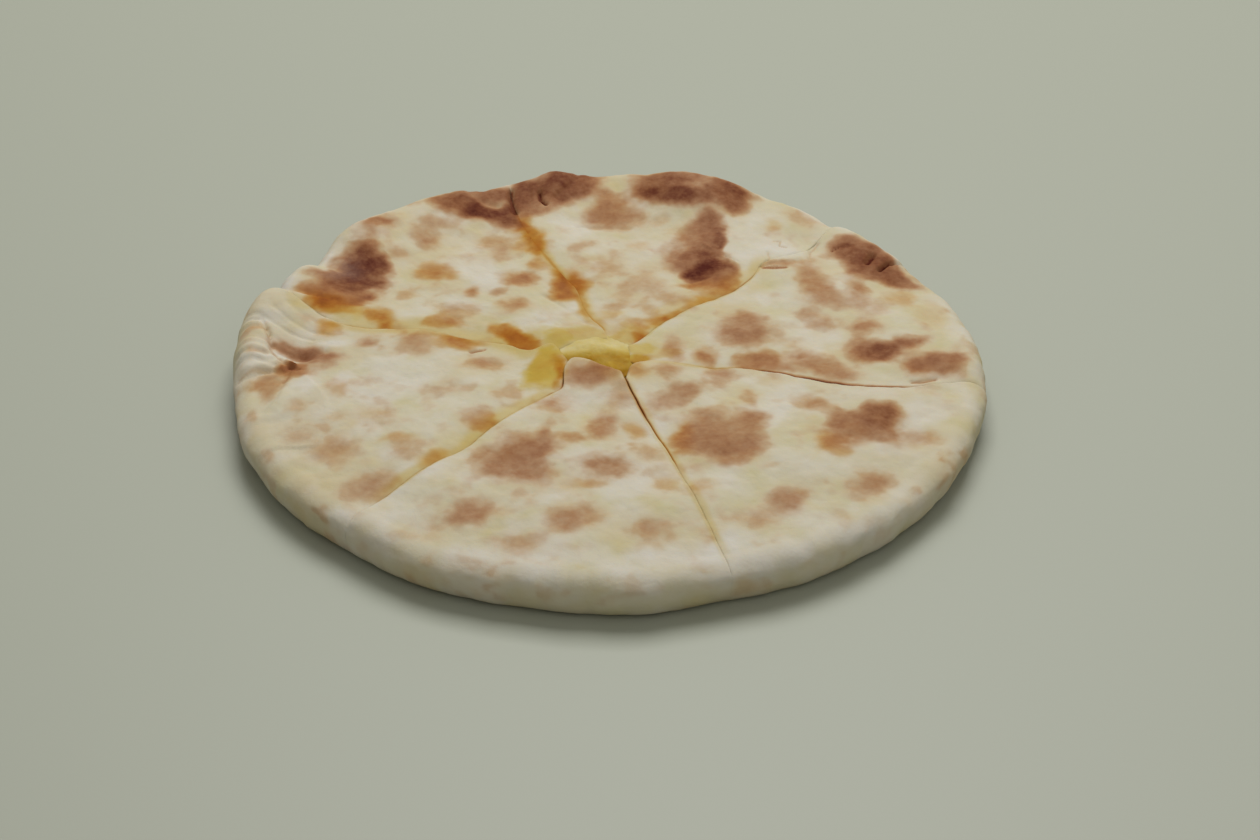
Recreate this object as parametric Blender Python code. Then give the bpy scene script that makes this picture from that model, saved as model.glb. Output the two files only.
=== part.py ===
"""Imeruli khachapuri: a round, flat bread baked round a cheese filling and cut across three times.

The six slices lie together, so the whole keeps its round shape. Each slice is one solid of dough, a top
sheet and a base sheet joined at the rim, and one wedge of cheese that runs through it. Melted cheese has
pooled in the middle, where the tips of the slices stop short of each other.

Metres, +Z up. The origin is on the surface the bread lies on, in the middle of its outline.
Bearings are in degrees from +X towards +Y, and +Y is the back of the bread.
"""

import math

import bmesh
import bpy
import numpy as np

MM = 0.001

# Where the cuts meet, in mm
MIDDLE_X = 0.91
MIDDLE_Y = 0.6

# Heights of the bread, in mm
TOP = 20.0  # plain top of the bread
SHEET = 3.5  # thickness of the top sheet of dough
BASE_SHEET = 3.0  # thickness of the base sheet
GIRTH = 11.0  # height at which the rim reaches furthest out

# The rim, in mm
SHOULDER = 8.0  # how far the top curves down into the side
TOE = 7.0  # how far the side tucks in under the bread
LIFT_RUN = 34.0  # the stretch over which the top rises to the rim
CAVITY_REACH = 120.0  # where the filling starts to close off towards the rim
CAVITY_ROUND = 2.5

# Fits, in mm
CUT_HALF_GAP = 0.35
CHEESE_GAP = 0.35
BASE_TIP_REACH = 2.0

# How the knife pressed the dough down beside a cut, in mm
CUT_DIP = 1.3
CUT_DIP_WIDTH = 5.0

# Distances from the middle at which the slices have a row of points, in mm. A slice's tip is at one of them.
# Then the places across a slice that have a section, from 0 at one cut to 1 at the next.
ROWS = (10.0, 15.0, 24.0, 38.0, 54.0, 72.0, 90.0, 102.0, 112.0, CAVITY_REACH)
SECTIONS = (0.0, 0.05, 0.14, 0.28, 0.43, 0.57, 0.72, 0.86, 0.95, 1.0)
PLEATED_SECTIONS = (0.0, 0.05, 0.1, 0.15, 0.19, 0.23, 0.27, 0.31, 0.35, 0.39, 0.43, 0.48, 0.58, 0.7, 0.84, 0.95, 1.0)

# The outline: bearing, reach of the rim in mm, and how far the rim stands above the plain top in mm.
RIM = (
    (0, 140.6, -1.5), (10, 140.3, -2.5), (20, 140.3, -2.5), (30, 138.6, -1.8), (37, 139.8, -0.4), (43, 139.4, 0.6),
    (46, 139.4, 1.0), (49, 137.6, 0.0), (53, 139.8, 0.8), (58, 140.8, 2.0), (64, 141.2, 3.6), (69, 141.6, 6.6),
    (74, 141.6, 7.8), (80, 141.4, 7.4), (86, 139.6, 5.0), (91, 139.4, 4.0), (96, 140.0, 4.6), (100, 141.4, 7.0),
    (104, 141.0, 5.8), (108, 140.0, 4.6), (113, 138.0, 2.6), (117, 140.6, 4.6), (122, 141.8, 5.6), (130, 141.8, 5.4),
    (138, 142.2, 6.0), (143, 142.0, 4.6), (148, 139.5, 1.8), (152, 139.8, 2.6), (156, 141.8, 4.2), (160, 143.0, 5.0),
    (165, 144.0, 4.4), (169, 143.4, 2.8), (173, 141.8, 1.0), (178, 141.6, 0.2), (188, 140.0, -2.5), (200, 140.3, -2.5),
    (215, 139.8, -2.0), (229, 138.5, -3.0), (243, 140.2, -2.0), (260, 139.8, -2.5), (275, 140.7, -3.0),
    (286, 139.0, -3.5), (300, 140.2, -2.0), (318, 139.5, -3.0), (335, 139.8, -2.5), (349, 140.0, -2.5),
)

# Pleats where the dough was gathered and pinched shut, on the left side of the rim
PLEATS_FROM, PLEATS_TO = 169.0, 193.0
PLEAT_PITCH = 5.2  # degrees
PLEAT_DEPTH = 1.3  # mm

# Folds and bulges of the dough: place in mm, how far it stands up or sinks, and its half-widths along and
# across the rim, in mm.
FOLDS = {
    "fold on the left": (-119.0, 1.0, -2.6, 8.0, 11.0),
    "rolled edge below the fold": (-122.0, -30.0, 1.2, 12.0, 10.0),
    "puffed edge at the back": (-14.0, 128.0, 1.6, 14.0, 9.0),
    "lobe left of the back cut": (-56.0, 118.0, 1.6, 12.0, 9.0),
    "groove beside the right back cut": (78.0, 84.0, -1.6, 13.0, 6.0),
    "blister on the back left slice": (-99.0, 72.0, 1.2, 16.0, 11.0),
}

# Each cut: its bearing at distances from the middle in mm, and how much wider it opens at the tips in mm.
CUTS = {
    "right": {
        "run": ((2, -17), (8, -16.5), (20, -12.5), (41, -11.2), (61, -11.7), (82, -13.9), (103, -13.1), (142, -7)),
        "opens": 0.1,
    },
    "back_right": {
        "run": (
            (2, 41), (11, 42), (26, 49), (40, 48.8), (67, 45.5), (80, 46.6), (92, 48.8), (102, 46.8), (112, 46), (123, 47),
            (142, 48),
        ),
        "opens": 0.0,
    },
    "back": {
        "run": ((2, 94), (14, 96), (27, 104.5), (52, 105.2), (65, 107.7), (87, 109.9), (113, 109.7), (142, 107.8)),
        "opens": 0.0,
    },
    "left": {
        "run": (
            (2, 172), (20, 173), (27, 174), (32, 172), (38, 169.2), (46, 167.6), (60, 166.8), (72, 166.6), (82, 167.4),
            (92, 168.5), (99, 168.2), (106, 166.8), (115, 164.6), (126, 162), (142, 158.5),
        ),
        "opens": 0.0,
    },
    "front_left": {
        "run": ((2, 196), (15, 199), (20, 213), (24, 225), (30, 231), (60, 229.7), (142, 229)),
        "opens": 0.1,
    },
    "front": {"run": ((2, 285), (30, 286.8), (142, 287.5)), "opens": 0.8},
}
OPENING_RUN = 55.0  # mm from the middle at which an opened cut has closed again

# Each slice: the cuts at its sides, where its tip stops and how far its tip is raised, in mm.
SLICES = {
    "right": {"cuts": ("right", "back_right"), "tip": 10.0, "raised": 0.5, "sections": SECTIONS},
    "back": {"cuts": ("back_right", "back"), "tip": 15.0, "raised": 0.0, "sections": SECTIONS},
    "back_left": {"cuts": ("back", "left"), "tip": 15.0, "raised": 0.5, "sections": SECTIONS},
    "left": {"cuts": ("left", "front_left"), "tip": 15.0, "raised": 2.5, "sections": PLEATED_SECTIONS},
    "front": {"cuts": ("front_left", "front"), "tip": 10.0, "raised": 3.5, "sections": SECTIONS},
    "front_right": {"cuts": ("front", "right"), "tip": 10.0, "raised": 1.0, "sections": SECTIONS},
}
RAISED_RUN = 30.0

# The pool of melted cheese in the middle: bearing and reach in mm, then height and share of that reach.
POOL_OUTLINE = ((0, 9.2), (44, 9.4), (72, 13.6), (118, 14.2), (150, 14.4), (172, 14.2), (200, 9.2), (270, 9.0))
POOL_RINGS = ((BASE_SHEET + CHEESE_GAP, 0.97), (10.0, 1.0), (15.5, 0.92), (17.8, 0.62), (18.6, 0.3))
POOL_TOP = 18.8
POOL_SIDES = 20

DOUGH_COLOUR = (0.56, 0.48, 0.35, 1.0)
CHEESE_COLOUR = (0.50, 0.38, 0.11, 1.0)


# ---------------------------------------------------------------- curves


def smooth_curve(points, at, period=None):
    """The height, at each place in `at`, of a smooth curve through (place, height) points."""
    places, heights = np.array(points, float).T
    if period:
        places = np.concatenate([places[-2:] - period, places, places[:2] + period])
        heights = np.concatenate([heights[-2:], heights, heights[:2]])
    at = np.clip(at, places[0], places[-1])
    slopes = np.gradient(heights, places)
    i = np.clip(np.searchsorted(places, at) - 1, 0, len(places) - 2)
    step = places[i + 1] - places[i]
    t = (at - places[i]) / step
    return (
        heights[i] * (1 + 2 * t) * (1 - t) ** 2
        + slopes[i] * step * t * (1 - t) ** 2
        + heights[i + 1] * t**2 * (3 - 2 * t)
        - slopes[i + 1] * step * t**2 * (1 - t)
    )


def ease(t):
    """0 below t = 0, 1 above t = 1, and a smooth rise between."""
    t = np.clip(t, 0.0, 1.0)
    return t * t * (3 - 2 * t)


def pleats(bearing):
    """Ridges and furrows of the pinched dough, from -1 to 1, and 0 outside the gathered stretch."""
    middle = (PLEATS_FROM + PLEATS_TO) / 2
    half = (PLEATS_TO - PLEATS_FROM) / 2
    window = ease((half - abs(bearing - middle)) / (0.4 * half))
    return window * math.cos(2 * math.pi * (bearing - middle) / PLEAT_PITCH)


def rim_reach(bearing):
    bearing = bearing % 360
    return float(smooth_curve([row[:2] for row in RIM], bearing, 360)) + PLEAT_DEPTH * pleats(bearing)


def rim_lift(bearing):
    bearing = bearing % 360
    return float(smooth_curve([(row[0], row[2]) for row in RIM], bearing, 360)) + 0.5 * PLEAT_DEPTH * pleats(bearing)


def lumps(x, y):
    """Low swells of the top, and its folds, in mm, at a place in mm."""
    height = 0.5 * math.sin(x / 17.0 + 0.6) * math.cos(y / 21.0 - 0.4) + 0.35 * math.sin((x + y) / 11.0 + 1.9)
    for middle_x, middle_y, rise, along, across in FOLDS.values():
        out = math.hypot(middle_x, middle_y)
        dx, dy = x - middle_x, y - middle_y
        outward = (dx * middle_x + dy * middle_y) / out
        sideways = (dy * middle_x - dx * middle_y) / out
        height += rise * math.exp(-((sideways / along) ** 2) - (outward / across) ** 2)
    return height


# ---------------------------------------------------------------- slices


def cut_bearing(cut, reach):
    return float(smooth_curve(CUTS[cut]["run"], reach))


def half_gap(cut, reach):
    return CUT_HALF_GAP + CUTS[cut]["opens"] * (1 - ease(reach / OPENING_RUN))


def bearing_across(piece, share, reach, inset=0.0):
    """The bearing at a share of the way across a slice, where its walls stand back from the cuts."""
    first, last = piece["cuts"]
    low = cut_bearing(first, reach)
    high = cut_bearing(last, reach)
    if high < low:
        high += 360
    low += math.degrees(math.asin((half_gap(first, reach) + inset) / reach))
    high -= math.degrees(math.asin((half_gap(last, reach) + inset) / reach))
    return low + share * (high - low)


def beside_cut(piece, share, reach):
    """How near a place is to one of the slice's cuts: 1 on the cut, and 0 well inside the slice."""
    width = math.radians(bearing_across(piece, 1.0, reach) - bearing_across(piece, 0.0, reach)) * reach
    away = min(share, 1 - share) * width
    return math.exp(-((away / CUT_DIP_WIDTH) ** 2))


def roof_height(piece, share, reach):
    """Height of the top of the dough, in mm."""
    bearing = bearing_across(piece, share, reach)
    x, y = reach * math.cos(math.radians(bearing)), reach * math.sin(math.radians(bearing))
    to_rim = ease(1 - (rim_reach(bearing) - SHOULDER - reach) / LIFT_RUN)
    raised = piece["raised"] * (1 - ease((reach - piece["tip"]) / RAISED_RUN))
    return TOP + to_rim * rim_lift(bearing) + lumps(x, y) + raised - CUT_DIP * beside_cut(piece, share, reach)


def in_metres(reach, bearing, height):
    turn = math.radians(bearing)
    return MM * (MIDDLE_X + reach * math.cos(turn)), MM * (MIDDLE_Y + reach * math.sin(turn)), MM * height


def placed(piece, share, reach, height, inset=0.0):
    """The point, in metres, at a share of the way across a slice."""
    return in_metres(reach, bearing_across(piece, share, reach, inset), height)


def shoulder_reach(piece, share):
    bearing = bearing_across(piece, share, RIM[0][1])
    return rim_reach(bearing) - SHOULDER


def dough_section(piece, share):
    """One radial section through the dough, as named runs of (reach, height) in mm."""
    shoulder = shoulder_reach(piece, share)
    rim = shoulder + SHOULDER
    rows = [r for r in ROWS if r >= piece["tip"]]
    roof = [(r, roof_height(piece, share, r)) for r in (*rows, shoulder)]
    crown = roof[-1][1] - GIRTH
    nose = [
        (shoulder + SHOULDER * math.sin(turn), GIRTH + crown * math.cos(turn))
        for turn in (math.radians(a) for a in (30, 55, 90))
    ]
    nose += [
        (rim - TOE + TOE * math.cos(turn), GIRTH - GIRTH * math.sin(turn))
        for turn in (math.radians(a) for a in (35, 65))
    ]
    base = [(r, 0.0) for r in (BASE_TIP_REACH, *ROWS, rim - TOE)]
    floor = [(r, BASE_SHEET) for r, _ in base[:-1]]
    ceiling = [(r, z - SHEET) for r, z in roof[:-1]]
    top, bottom = ceiling[-1][1], floor[-1][1]
    back = [(CAVITY_REACH + CAVITY_ROUND, bottom + (top - bottom) * part) for part in (0.3, 0.7)]
    return {"roof": roof, "nose": nose, "base": base, "floor": floor, "back": back, "ceiling": ceiling}


def cheese_section(piece, share):
    """One radial section through the filling, kept clear of the dough round it."""
    dough = dough_section(piece, share)
    ceiling = [(r, z - CHEESE_GAP) for r, z in dough["ceiling"]]
    floor = [(r, z + CHEESE_GAP) for r, z in dough["floor"] if r >= piece["tip"]]
    back = [(r - CHEESE_GAP, z) for r, z in dough["back"]]
    return {"ceiling": ceiling, "back": back, "floor": floor}


def swept(name, piece, section, loop, walls, inset=0.0):
    """A closed solid: one section at each place across the slice, joined up, with a wall at each cut."""
    mesh = bmesh.new()
    rings = []
    for share in piece["sections"]:
        runs = section(piece, share)
        rings.append({
            run: [mesh.verts.new(placed(piece, share, r, z, inset)) for r, z in points] for run, points in runs.items()
        })
    for near, far in zip(rings, rings[1:]):
        a, b = loop(near), loop(far)
        for i in range(len(a)):
            j = (i + 1) % len(a)
            mesh.faces.new((a[i], a[j], b[j]))
            mesh.faces.new((a[i], b[j], b[i]))
    for face in walls(rings[0]) + [face[::-1] for face in walls(rings[-1])]:
        mesh.faces.new(face)
    bmesh.ops.recalc_face_normals(mesh, faces=mesh.faces)
    data = bpy.data.meshes.new(name)
    mesh.to_mesh(data)
    mesh.free()
    data.shade_smooth()
    data.set_sharp_from_angle(angle=math.radians(50))
    solid = bpy.data.objects.new(name, data)
    bpy.context.scene.collection.objects.link(solid)
    return solid


def dough_loop(runs):
    return runs["roof"] + runs["nose"] + runs["base"][::-1] + runs["floor"] + runs["back"] + runs["ceiling"][::-1]


def dough_walls(runs):
    """The cut face of the dough: the two sheets, the end of the filling and the rim."""
    roof, base, floor, ceiling = runs["roof"], runs["base"], runs["floor"], runs["ceiling"]
    faces = [(roof[i], roof[i + 1], ceiling[i + 1], ceiling[i]) for i in range(len(ceiling) - 1)]
    faces += [(floor[i], floor[i + 1], base[i + 1], base[i]) for i in range(len(floor) - 1)]
    faces.append((roof[-2], roof[-1], base[-1], base[-2], floor[-1], *runs["back"], ceiling[-1]))
    faces.append((roof[-1], *runs["nose"], base[-1]))
    return faces


def cheese_loop(runs):
    """Runs the same way round as the dough's, so that facing surfaces are split into the same triangles."""
    return runs["floor"] + runs["back"] + runs["ceiling"][::-1]


def cheese_walls(runs):
    """The cut face of the filling."""
    ceiling, floor = runs["ceiling"], runs["floor"]
    faces = [(ceiling[i], ceiling[i + 1], floor[i + 1], floor[i]) for i in range(len(floor) - 1)]
    faces.append((ceiling[-1], *runs["back"][::-1], floor[-1]))
    return faces


# ---------------------------------------------------------------- pool in the middle


def cheese_pool():
    """Melted cheese between the tips of the slices: rings of points round the middle, closed by a dome."""
    mesh = bmesh.new()
    bearings = [360.0 * i / POOL_SIDES for i in range(POOL_SIDES)]
    rings = []
    for height, share in POOL_RINGS:
        ring = []
        for bearing in bearings:
            reach = share * float(smooth_curve(POOL_OUTLINE, bearing, 360))
            ring.append(mesh.verts.new(in_metres(reach, bearing, height)))
        rings.append(ring)
    for low, high in zip(rings, rings[1:]):
        for i in range(POOL_SIDES):
            j = (i + 1) % POOL_SIDES
            mesh.faces.new((low[i], low[j], high[j], high[i]))
    top = mesh.verts.new(in_metres(0.0, 0.0, POOL_TOP))
    for i in range(POOL_SIDES):
        mesh.faces.new((rings[-1][i], rings[-1][(i + 1) % POOL_SIDES], top))
    mesh.faces.new(rings[0][::-1])
    bmesh.ops.recalc_face_normals(mesh, faces=mesh.faces)
    data = bpy.data.meshes.new("melted_cheese")
    mesh.to_mesh(data)
    mesh.free()
    data.shade_smooth()
    data.set_sharp_from_angle(angle=math.radians(50))
    pool = bpy.data.objects.new("melted_cheese", data)
    bpy.context.scene.collection.objects.link(pool)
    return pool


# ---------------------------------------------------------------- materials


def material(name, colour, roughness):
    made = bpy.data.materials.new(name)
    made.use_nodes = True
    shader = made.node_tree.nodes["Principled BSDF"]
    shader.inputs["Base Color"].default_value = colour
    shader.inputs["Roughness"].default_value = roughness
    shader.inputs["Metallic"].default_value = 0.0
    return made


def clear_scene():
    for old in list(bpy.data.objects):
        bpy.data.objects.remove(old)


def main():
    clear_scene()
    dough = material("baked_dough", DOUGH_COLOUR, 0.75)
    cheese = material("melted_cheese", CHEESE_COLOUR, 0.4)
    for name, piece in SLICES.items():
        crust = swept("dough_" + name, piece, dough_section, dough_loop, dough_walls)
        crust.data.materials.append(dough)
        filling = swept("cheese_" + name, piece, cheese_section, cheese_loop, cheese_walls, inset=0.15)
        filling.data.materials.append(cheese)
    cheese_pool().data.materials.append(cheese)


main()
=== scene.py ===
import math

import bpy
import numpy as np
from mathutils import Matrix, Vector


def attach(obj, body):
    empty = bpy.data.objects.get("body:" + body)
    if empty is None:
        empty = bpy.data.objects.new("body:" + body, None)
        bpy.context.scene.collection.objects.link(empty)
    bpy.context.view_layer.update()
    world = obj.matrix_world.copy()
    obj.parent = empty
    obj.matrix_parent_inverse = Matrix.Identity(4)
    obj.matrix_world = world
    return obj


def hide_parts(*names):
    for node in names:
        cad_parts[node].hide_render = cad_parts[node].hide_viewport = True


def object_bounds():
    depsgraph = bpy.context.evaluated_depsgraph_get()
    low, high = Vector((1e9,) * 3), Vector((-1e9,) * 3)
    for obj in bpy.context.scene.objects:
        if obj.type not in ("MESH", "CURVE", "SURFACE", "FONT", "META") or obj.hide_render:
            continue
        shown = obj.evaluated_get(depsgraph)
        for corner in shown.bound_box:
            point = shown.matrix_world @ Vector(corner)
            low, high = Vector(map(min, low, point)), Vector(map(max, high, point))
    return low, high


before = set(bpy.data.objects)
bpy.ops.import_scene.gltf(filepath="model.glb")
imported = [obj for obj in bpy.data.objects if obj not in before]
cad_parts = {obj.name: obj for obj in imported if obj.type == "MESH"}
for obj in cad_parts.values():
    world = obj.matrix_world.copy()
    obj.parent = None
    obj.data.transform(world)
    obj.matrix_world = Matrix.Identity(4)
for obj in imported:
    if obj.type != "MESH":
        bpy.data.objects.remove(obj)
cad_low, cad_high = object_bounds()

# ======================================================================================================
# DOUGH SLICES. Soft wheat dough, folded up over a ball of cheese, pinched shut, turned over, pressed flat,
# baked on a hot pan and cut in six. Each slice is a top and a base sheet that join at the rim and close
# round the filling. Lengths are in mm from where the cuts meet, bearings in degrees from +X towards +Y.
# ======================================================================================================
MM = 0.001
MIDDLE = (0.91, 0.6)  # where the cuts meet, from the frame's origin

TOP = 20.0  # height of the plain top
SHEET = 3.5  # thickness of the top sheet
BASE_SHEET = 3.0  # thickness of the base sheet
GIRTH = 11.0  # height at which the rim stands out furthest
SHOULDER = 8.0  # how far in from the rim its upper round begins
TOE = 7.0  # how far in from the rim its lower round ends
LIFT_RUN = 34.0  # how far in from the shoulder the top still rises and sinks with the rim
CAVITY_REACH = 120.0  # how far out the pocket for the filling goes

# The rim: bearing, its reach, and its height above the plain top. Its small lumps are read at one reach.
RIM = (
    (0, 140.6, -1.5), (10, 140.3, -2.5), (20, 140.3, -2.5), (30, 138.6, -1.8), (37, 139.8, -0.4),
    (43, 139.4, 0.6), (46, 139.4, 1.0), (49, 137.6, 0.0), (53, 139.8, 0.8), (58, 140.8, 2.0),
    (64, 141.2, 3.6), (69, 141.6, 6.6), (74, 141.6, 7.8), (80, 141.4, 7.4), (86, 139.6, 5.0),
    (91, 139.4, 4.0), (96, 140.0, 4.6), (100, 141.4, 7.0), (104, 141.0, 5.8), (108, 140.0, 4.6),
    (113, 138.0, 2.6), (117, 140.6, 4.6), (122, 141.8, 5.6), (130, 141.8, 5.4), (138, 142.4, 6.2),
    (142, 142.4, 5.0), (146.5, 138.8, 2.0), (150, 137.4, 0.8), (152.6, 140.0, 3.2), (156, 140.6, 4.0),
    (159.2, 139.4, 3.0), (161, 138.8, 2.4), (162.2, 142.4, 4.8), (164.5, 144.0, 5.4), (167.5, 144.4, 4.8),
    (170.5, 143.8, 2.8), (174, 142.0, 1.0), (178, 141.6, 0.2), (188, 140.0, -2.5), (200, 140.3, -2.5),
    (215, 139.8, -2.0), (229, 138.5, -3.0), (243, 140.2, -2.0), (260, 139.8, -2.5), (275, 140.7, -3.0),
    (286, 139.0, -3.5), (300, 140.2, -2.0), (318, 139.5, -3.0), (335, 139.8, -2.5), (349, 140.0, -2.5),
)
RIM_LUMPS_AT = 138.0

# Each cut: bearing of the knife's path at distances from the middle, half its gap, how much wider it stands
# open at the tips, and for the slice on either side (lower bearing first) how wide and how deep its lip
# rolls down and how far it stands above the other.
CUTS = {
    "right": {
        "path": (
            (2, -34), (9, -33), (12.5, -29.5), (15, -24.5), (18, -20), (23, -16.8), (30, -15.8), (37, -13),
            (43, -10.9), (49, -9.7), (56, -10.1), (66, -11.2), (73, -12.5), (79, -13.4), (87, -13.9),
            (94, -13.7), (104, -12.6), (110, -11.1), (115, -9.6), (120, -8.3), (127, -7), (142, -5.5),
        ),
        "gap": 0.06, "opens": 0.0, "lips": ((0.9, 0.35, 0.3), (1.6, 0.6, -0.15)),
    },
    "back_right": {
        "path": (
            (2, 41), (11, 42), (26, 49), (40, 48.8), (67, 45.5), (80, 46.6), (92, 48.8), (102, 46.8),
            (112, 46), (123, 47), (142, 48),
        ),
        "gap": 0.02, "opens": 0.0, "lips": ((1.2, 0.4, 0.3), (2.4, 0.7, 0.0)),
    },
    "back": {
        "path": (
            (2, 94), (14, 96), (27, 104.5), (52, 105.2), (65, 107.7), (87, 109.9), (113, 109.7), (142, 107.8),
        ),
        "gap": 0.005, "opens": 0.0, "lips": ((1.2, 0.08, 0.0), (1.0, 0.1, 0.15)),
    },
    "left": {
        "path": (
            (2, 173), (17, 174), (19.5, 170.5), (22, 164.5), (24.2, 164.5), (26, 168.5), (29, 173.5),
            (33, 172.5), (38, 169.2), (46, 167.6), (60, 166.8), (72, 166.6), (82, 167.4), (92, 168.5),
            (99, 168.2), (106, 167.6), (113, 166.4), (121, 164.7), (130, 162.8), (136, 161.9), (142, 161.4),
        ),
        "gap": 0.01, "opens": 0.0, "lips": ((2.2, 0.5, -0.2), (1.2, 0.35, 0.4)),
    },
    "front_left": {
        "path": (
            (2, 190), (12, 197), (16, 204), (19.5, 212.5), (24, 225), (29.5, 234), (34, 232.3), (38, 231),
            (44, 230.2), (62, 230.1), (71, 230.6), (80, 231.3), (86, 230.8), (91, 230.2), (102, 229.7),
            (142, 229),
        ),
        "gap": 0.06, "opens": 0.06, "lips": ((2.4, 0.8, -0.2), (1.0, 0.45, 0.35)),
    },
    "front": {
        "path": ((2, 285), (30, 286.8), (142, 287.5)),
        "gap": 0.015, "opens": 0.75, "lips": ((1.0, 0.35, 0.25), (1.2, 0.4, 0.0)),
    },
}
OPENING_RUN = 62.0  # how far from the middle an opened cut closes up

# Each slice: its two cuts, the reach of its tip at shares of its width, and how far the tip is raised.
SLICES = {
    "right": (("right", "back_right"), ((0, 7.0), (0.5, 6.5), (1, 8.0)), 0.2),
    "back": (("back_right", "back"), ((0, 8.0), (0.5, 8.5), (1, 10.0)), 0.2),
    "back_left": (("back", "left"), ((0, 10.0), (0.4, 12.0), (0.75, 16.0), (1, 19.5)), 0.4),
    "left": (("left", "front_left"), ((0, 19.0), (0.15, 17.6), (0.4, 16.6), (0.7, 16.2), (1, 16.8)), 1.5),
    "front": (
        ("front_left", "front"),
        ((0, 14.6), (0.08, 12.7), (0.23, 11.0), (0.43, 10.3), (0.69, 11.3), (0.87, 13.2), (1, 16.5)), 3.0,
    ),
    "front_right": (
        ("front", "right"),
        ((0, 18.5), (0.1, 16.2), (0.24, 14.0), (0.46, 12.1), (0.65, 11.7), (0.84, 12.3), (1, 14.2)), 1.2,
    ),
}
RAISED_RUN = 26.0  # how far from its tip a raised slice has sloped back to the plain top

# Distances of a slice's first rows of points from its cuts, close together to carry the rounded lip. They
# shrink in proportion where the slice is narrower than FULL_WIDTH.
EDGE_STEPS = np.array([0.0, 0.25, 0.6, 1.0, 1.5, 2.1, 2.8, 3.6, 4.5, 5.5, 6.6])
FULL_WIDTH = 26.0


def smooth_curve(points, at, period=None):
    """The height, at each place in `at`, of a smooth curve through (place, height) points."""
    places, heights = np.array(points, float).T
    if period:
        at = np.mod(at, period)
        places = np.concatenate([places[-2:] - period, places, places[:2] + period])
        heights = np.concatenate([heights[-2:], heights, heights[:2]])
    at = np.clip(at, places[0], places[-1])
    slopes = np.gradient(heights, places)
    i = np.clip(np.searchsorted(places, at) - 1, 0, len(places) - 2)
    step = places[i + 1] - places[i]
    t = (at - places[i]) / step
    rising = heights[i] * (1 + 2 * t) * (1 - t) ** 2 + heights[i + 1] * t**2 * (3 - 2 * t)
    return rising + step * t * (1 - t) * (slopes[i] * (1 - t) - slopes[i + 1] * t)


def ease(t):
    """0 below t = 0, 1 above t = 1, and a smooth rise between."""
    t = np.clip(t, 0.0, 1.0)
    return t * t * (3 - 2 * t)


def swells(x, y, size, seed):
    """Smooth random swells from about -1 to 1, with lumps some `size` mm across."""
    table = np.random.default_rng(seed).uniform(-1, 1, (64, 64))
    turn = 0.7 + seed
    u = (x * math.cos(turn) - y * math.sin(turn)) / size + 31.0
    v = (x * math.sin(turn) + y * math.cos(turn)) / size + 17.0
    i, j = np.floor(u).astype(int), np.floor(v).astype(int)
    s, t = ease(u - i), ease(v - j)
    i, j, k, m = i % 64, j % 64, (i + 1) % 64, (j + 1) % 64
    return (table[i, j] * (1 - s) + table[k, j] * s) * (1 - t) + (table[i, m] * (1 - s) + table[k, m] * s) * t


def lumpy(x, y, size, seed, octaves=3):
    """Swells on swells, each half as wide and half as high as the last."""
    return sum(swells(x, y, size / 2**n, seed + 7 * n) / 2**n for n in range(octaves))


def flat_xy(reach, bearing):
    """x and y of a place given by its reach and bearing."""
    return reach * np.cos(np.radians(bearing)), reach * np.sin(np.radians(bearing))


def cut_bearing(cut, reach):
    """Bearing of the knife's path at each reach."""
    return smooth_curve(CUTS[cut]["path"], reach)


def across(slice_cuts, sections, reach):
    """Bearing of each section at each reach, and its distance in mm from the slice's first and last cut."""
    first, last = slice_cuts
    low, high = cut_bearing(first, reach), cut_bearing(last, reach)
    high = np.where(high < low, high + 360, high)
    gaps = [CUTS[cut]["gap"] + CUTS[cut]["opens"] * (1 - ease(reach / OPENING_RUN)) for cut in slice_cuts]
    low = low + np.degrees(gaps[0] / reach)
    high = high - np.degrees(gaps[1] / reach)
    width = np.radians(high - low) * reach
    edge = np.minimum(1.0, width / FULL_WIDTH)
    lip = EDGE_STEPS[:, None] * edge[None, :]
    inner = np.linspace(0, 1, sections - 2 * len(EDGE_STEPS) + 2)[1:-1, None]
    body = lip[-1] + inner * (width - 2 * lip[-1])
    away = np.concatenate([lip, body, width - lip[::-1]])
    return low + np.degrees(away / reach), away, width - away


def rim_reach(bearing):
    """How far out the rim stands at each bearing."""
    lumps = 0.4 * lumpy(*flat_xy(RIM_LUMPS_AT, bearing), 13, 91)
    return smooth_curve([row[:2] for row in RIM], bearing, 360) + lumps


def rim_lift(bearing):
    """How far the rim stands above the plain top at each bearing."""
    lumps = 0.4 * lumpy(*flat_xy(RIM_LUMPS_AT, bearing), 13, 97)
    return smooth_curve([(row[0], row[2]) for row in RIM], bearing, 360) + lumps


# Folds and bulges: place, how far it stands up or sinks, its half-width along the rim and across the rim.
FOLDS = (
    (-119, 2, -2.6, 7, 9), (-134, 6, 2.0, 15, 6), (-122, -30, 1.2, 12, 10), (-124, 30, 0.8, 10, 10),
    (-14, 128, 1.6, 14, 9), (-56, 118, 1.6, 12, 9), (78, 84, -1.6, 13, 6), (-99, 72, 1.2, 16, 11),
    (28, 118, 1.4, 14, 9), (40, 84, 0.9, 10, 14), (30, 56, -0.8, 9, 8), (100, 78, 1.0, 10, 8),
    (96, 14, 0.8, 16, 14), (-30, -66, 0.9, 16, 14), (44, -56, 0.9, 16, 14), (88, -46, 0.9, 14, 12),
    (-72, 20, 0.8, 14, 10), (58, 26, 0.8, 13, 12), (-60, -50, 0.9, 18, 14), (-20, 88, 0.8, 8, 18),
    (6, 84, 0.7, 16, 12),
)

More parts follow.
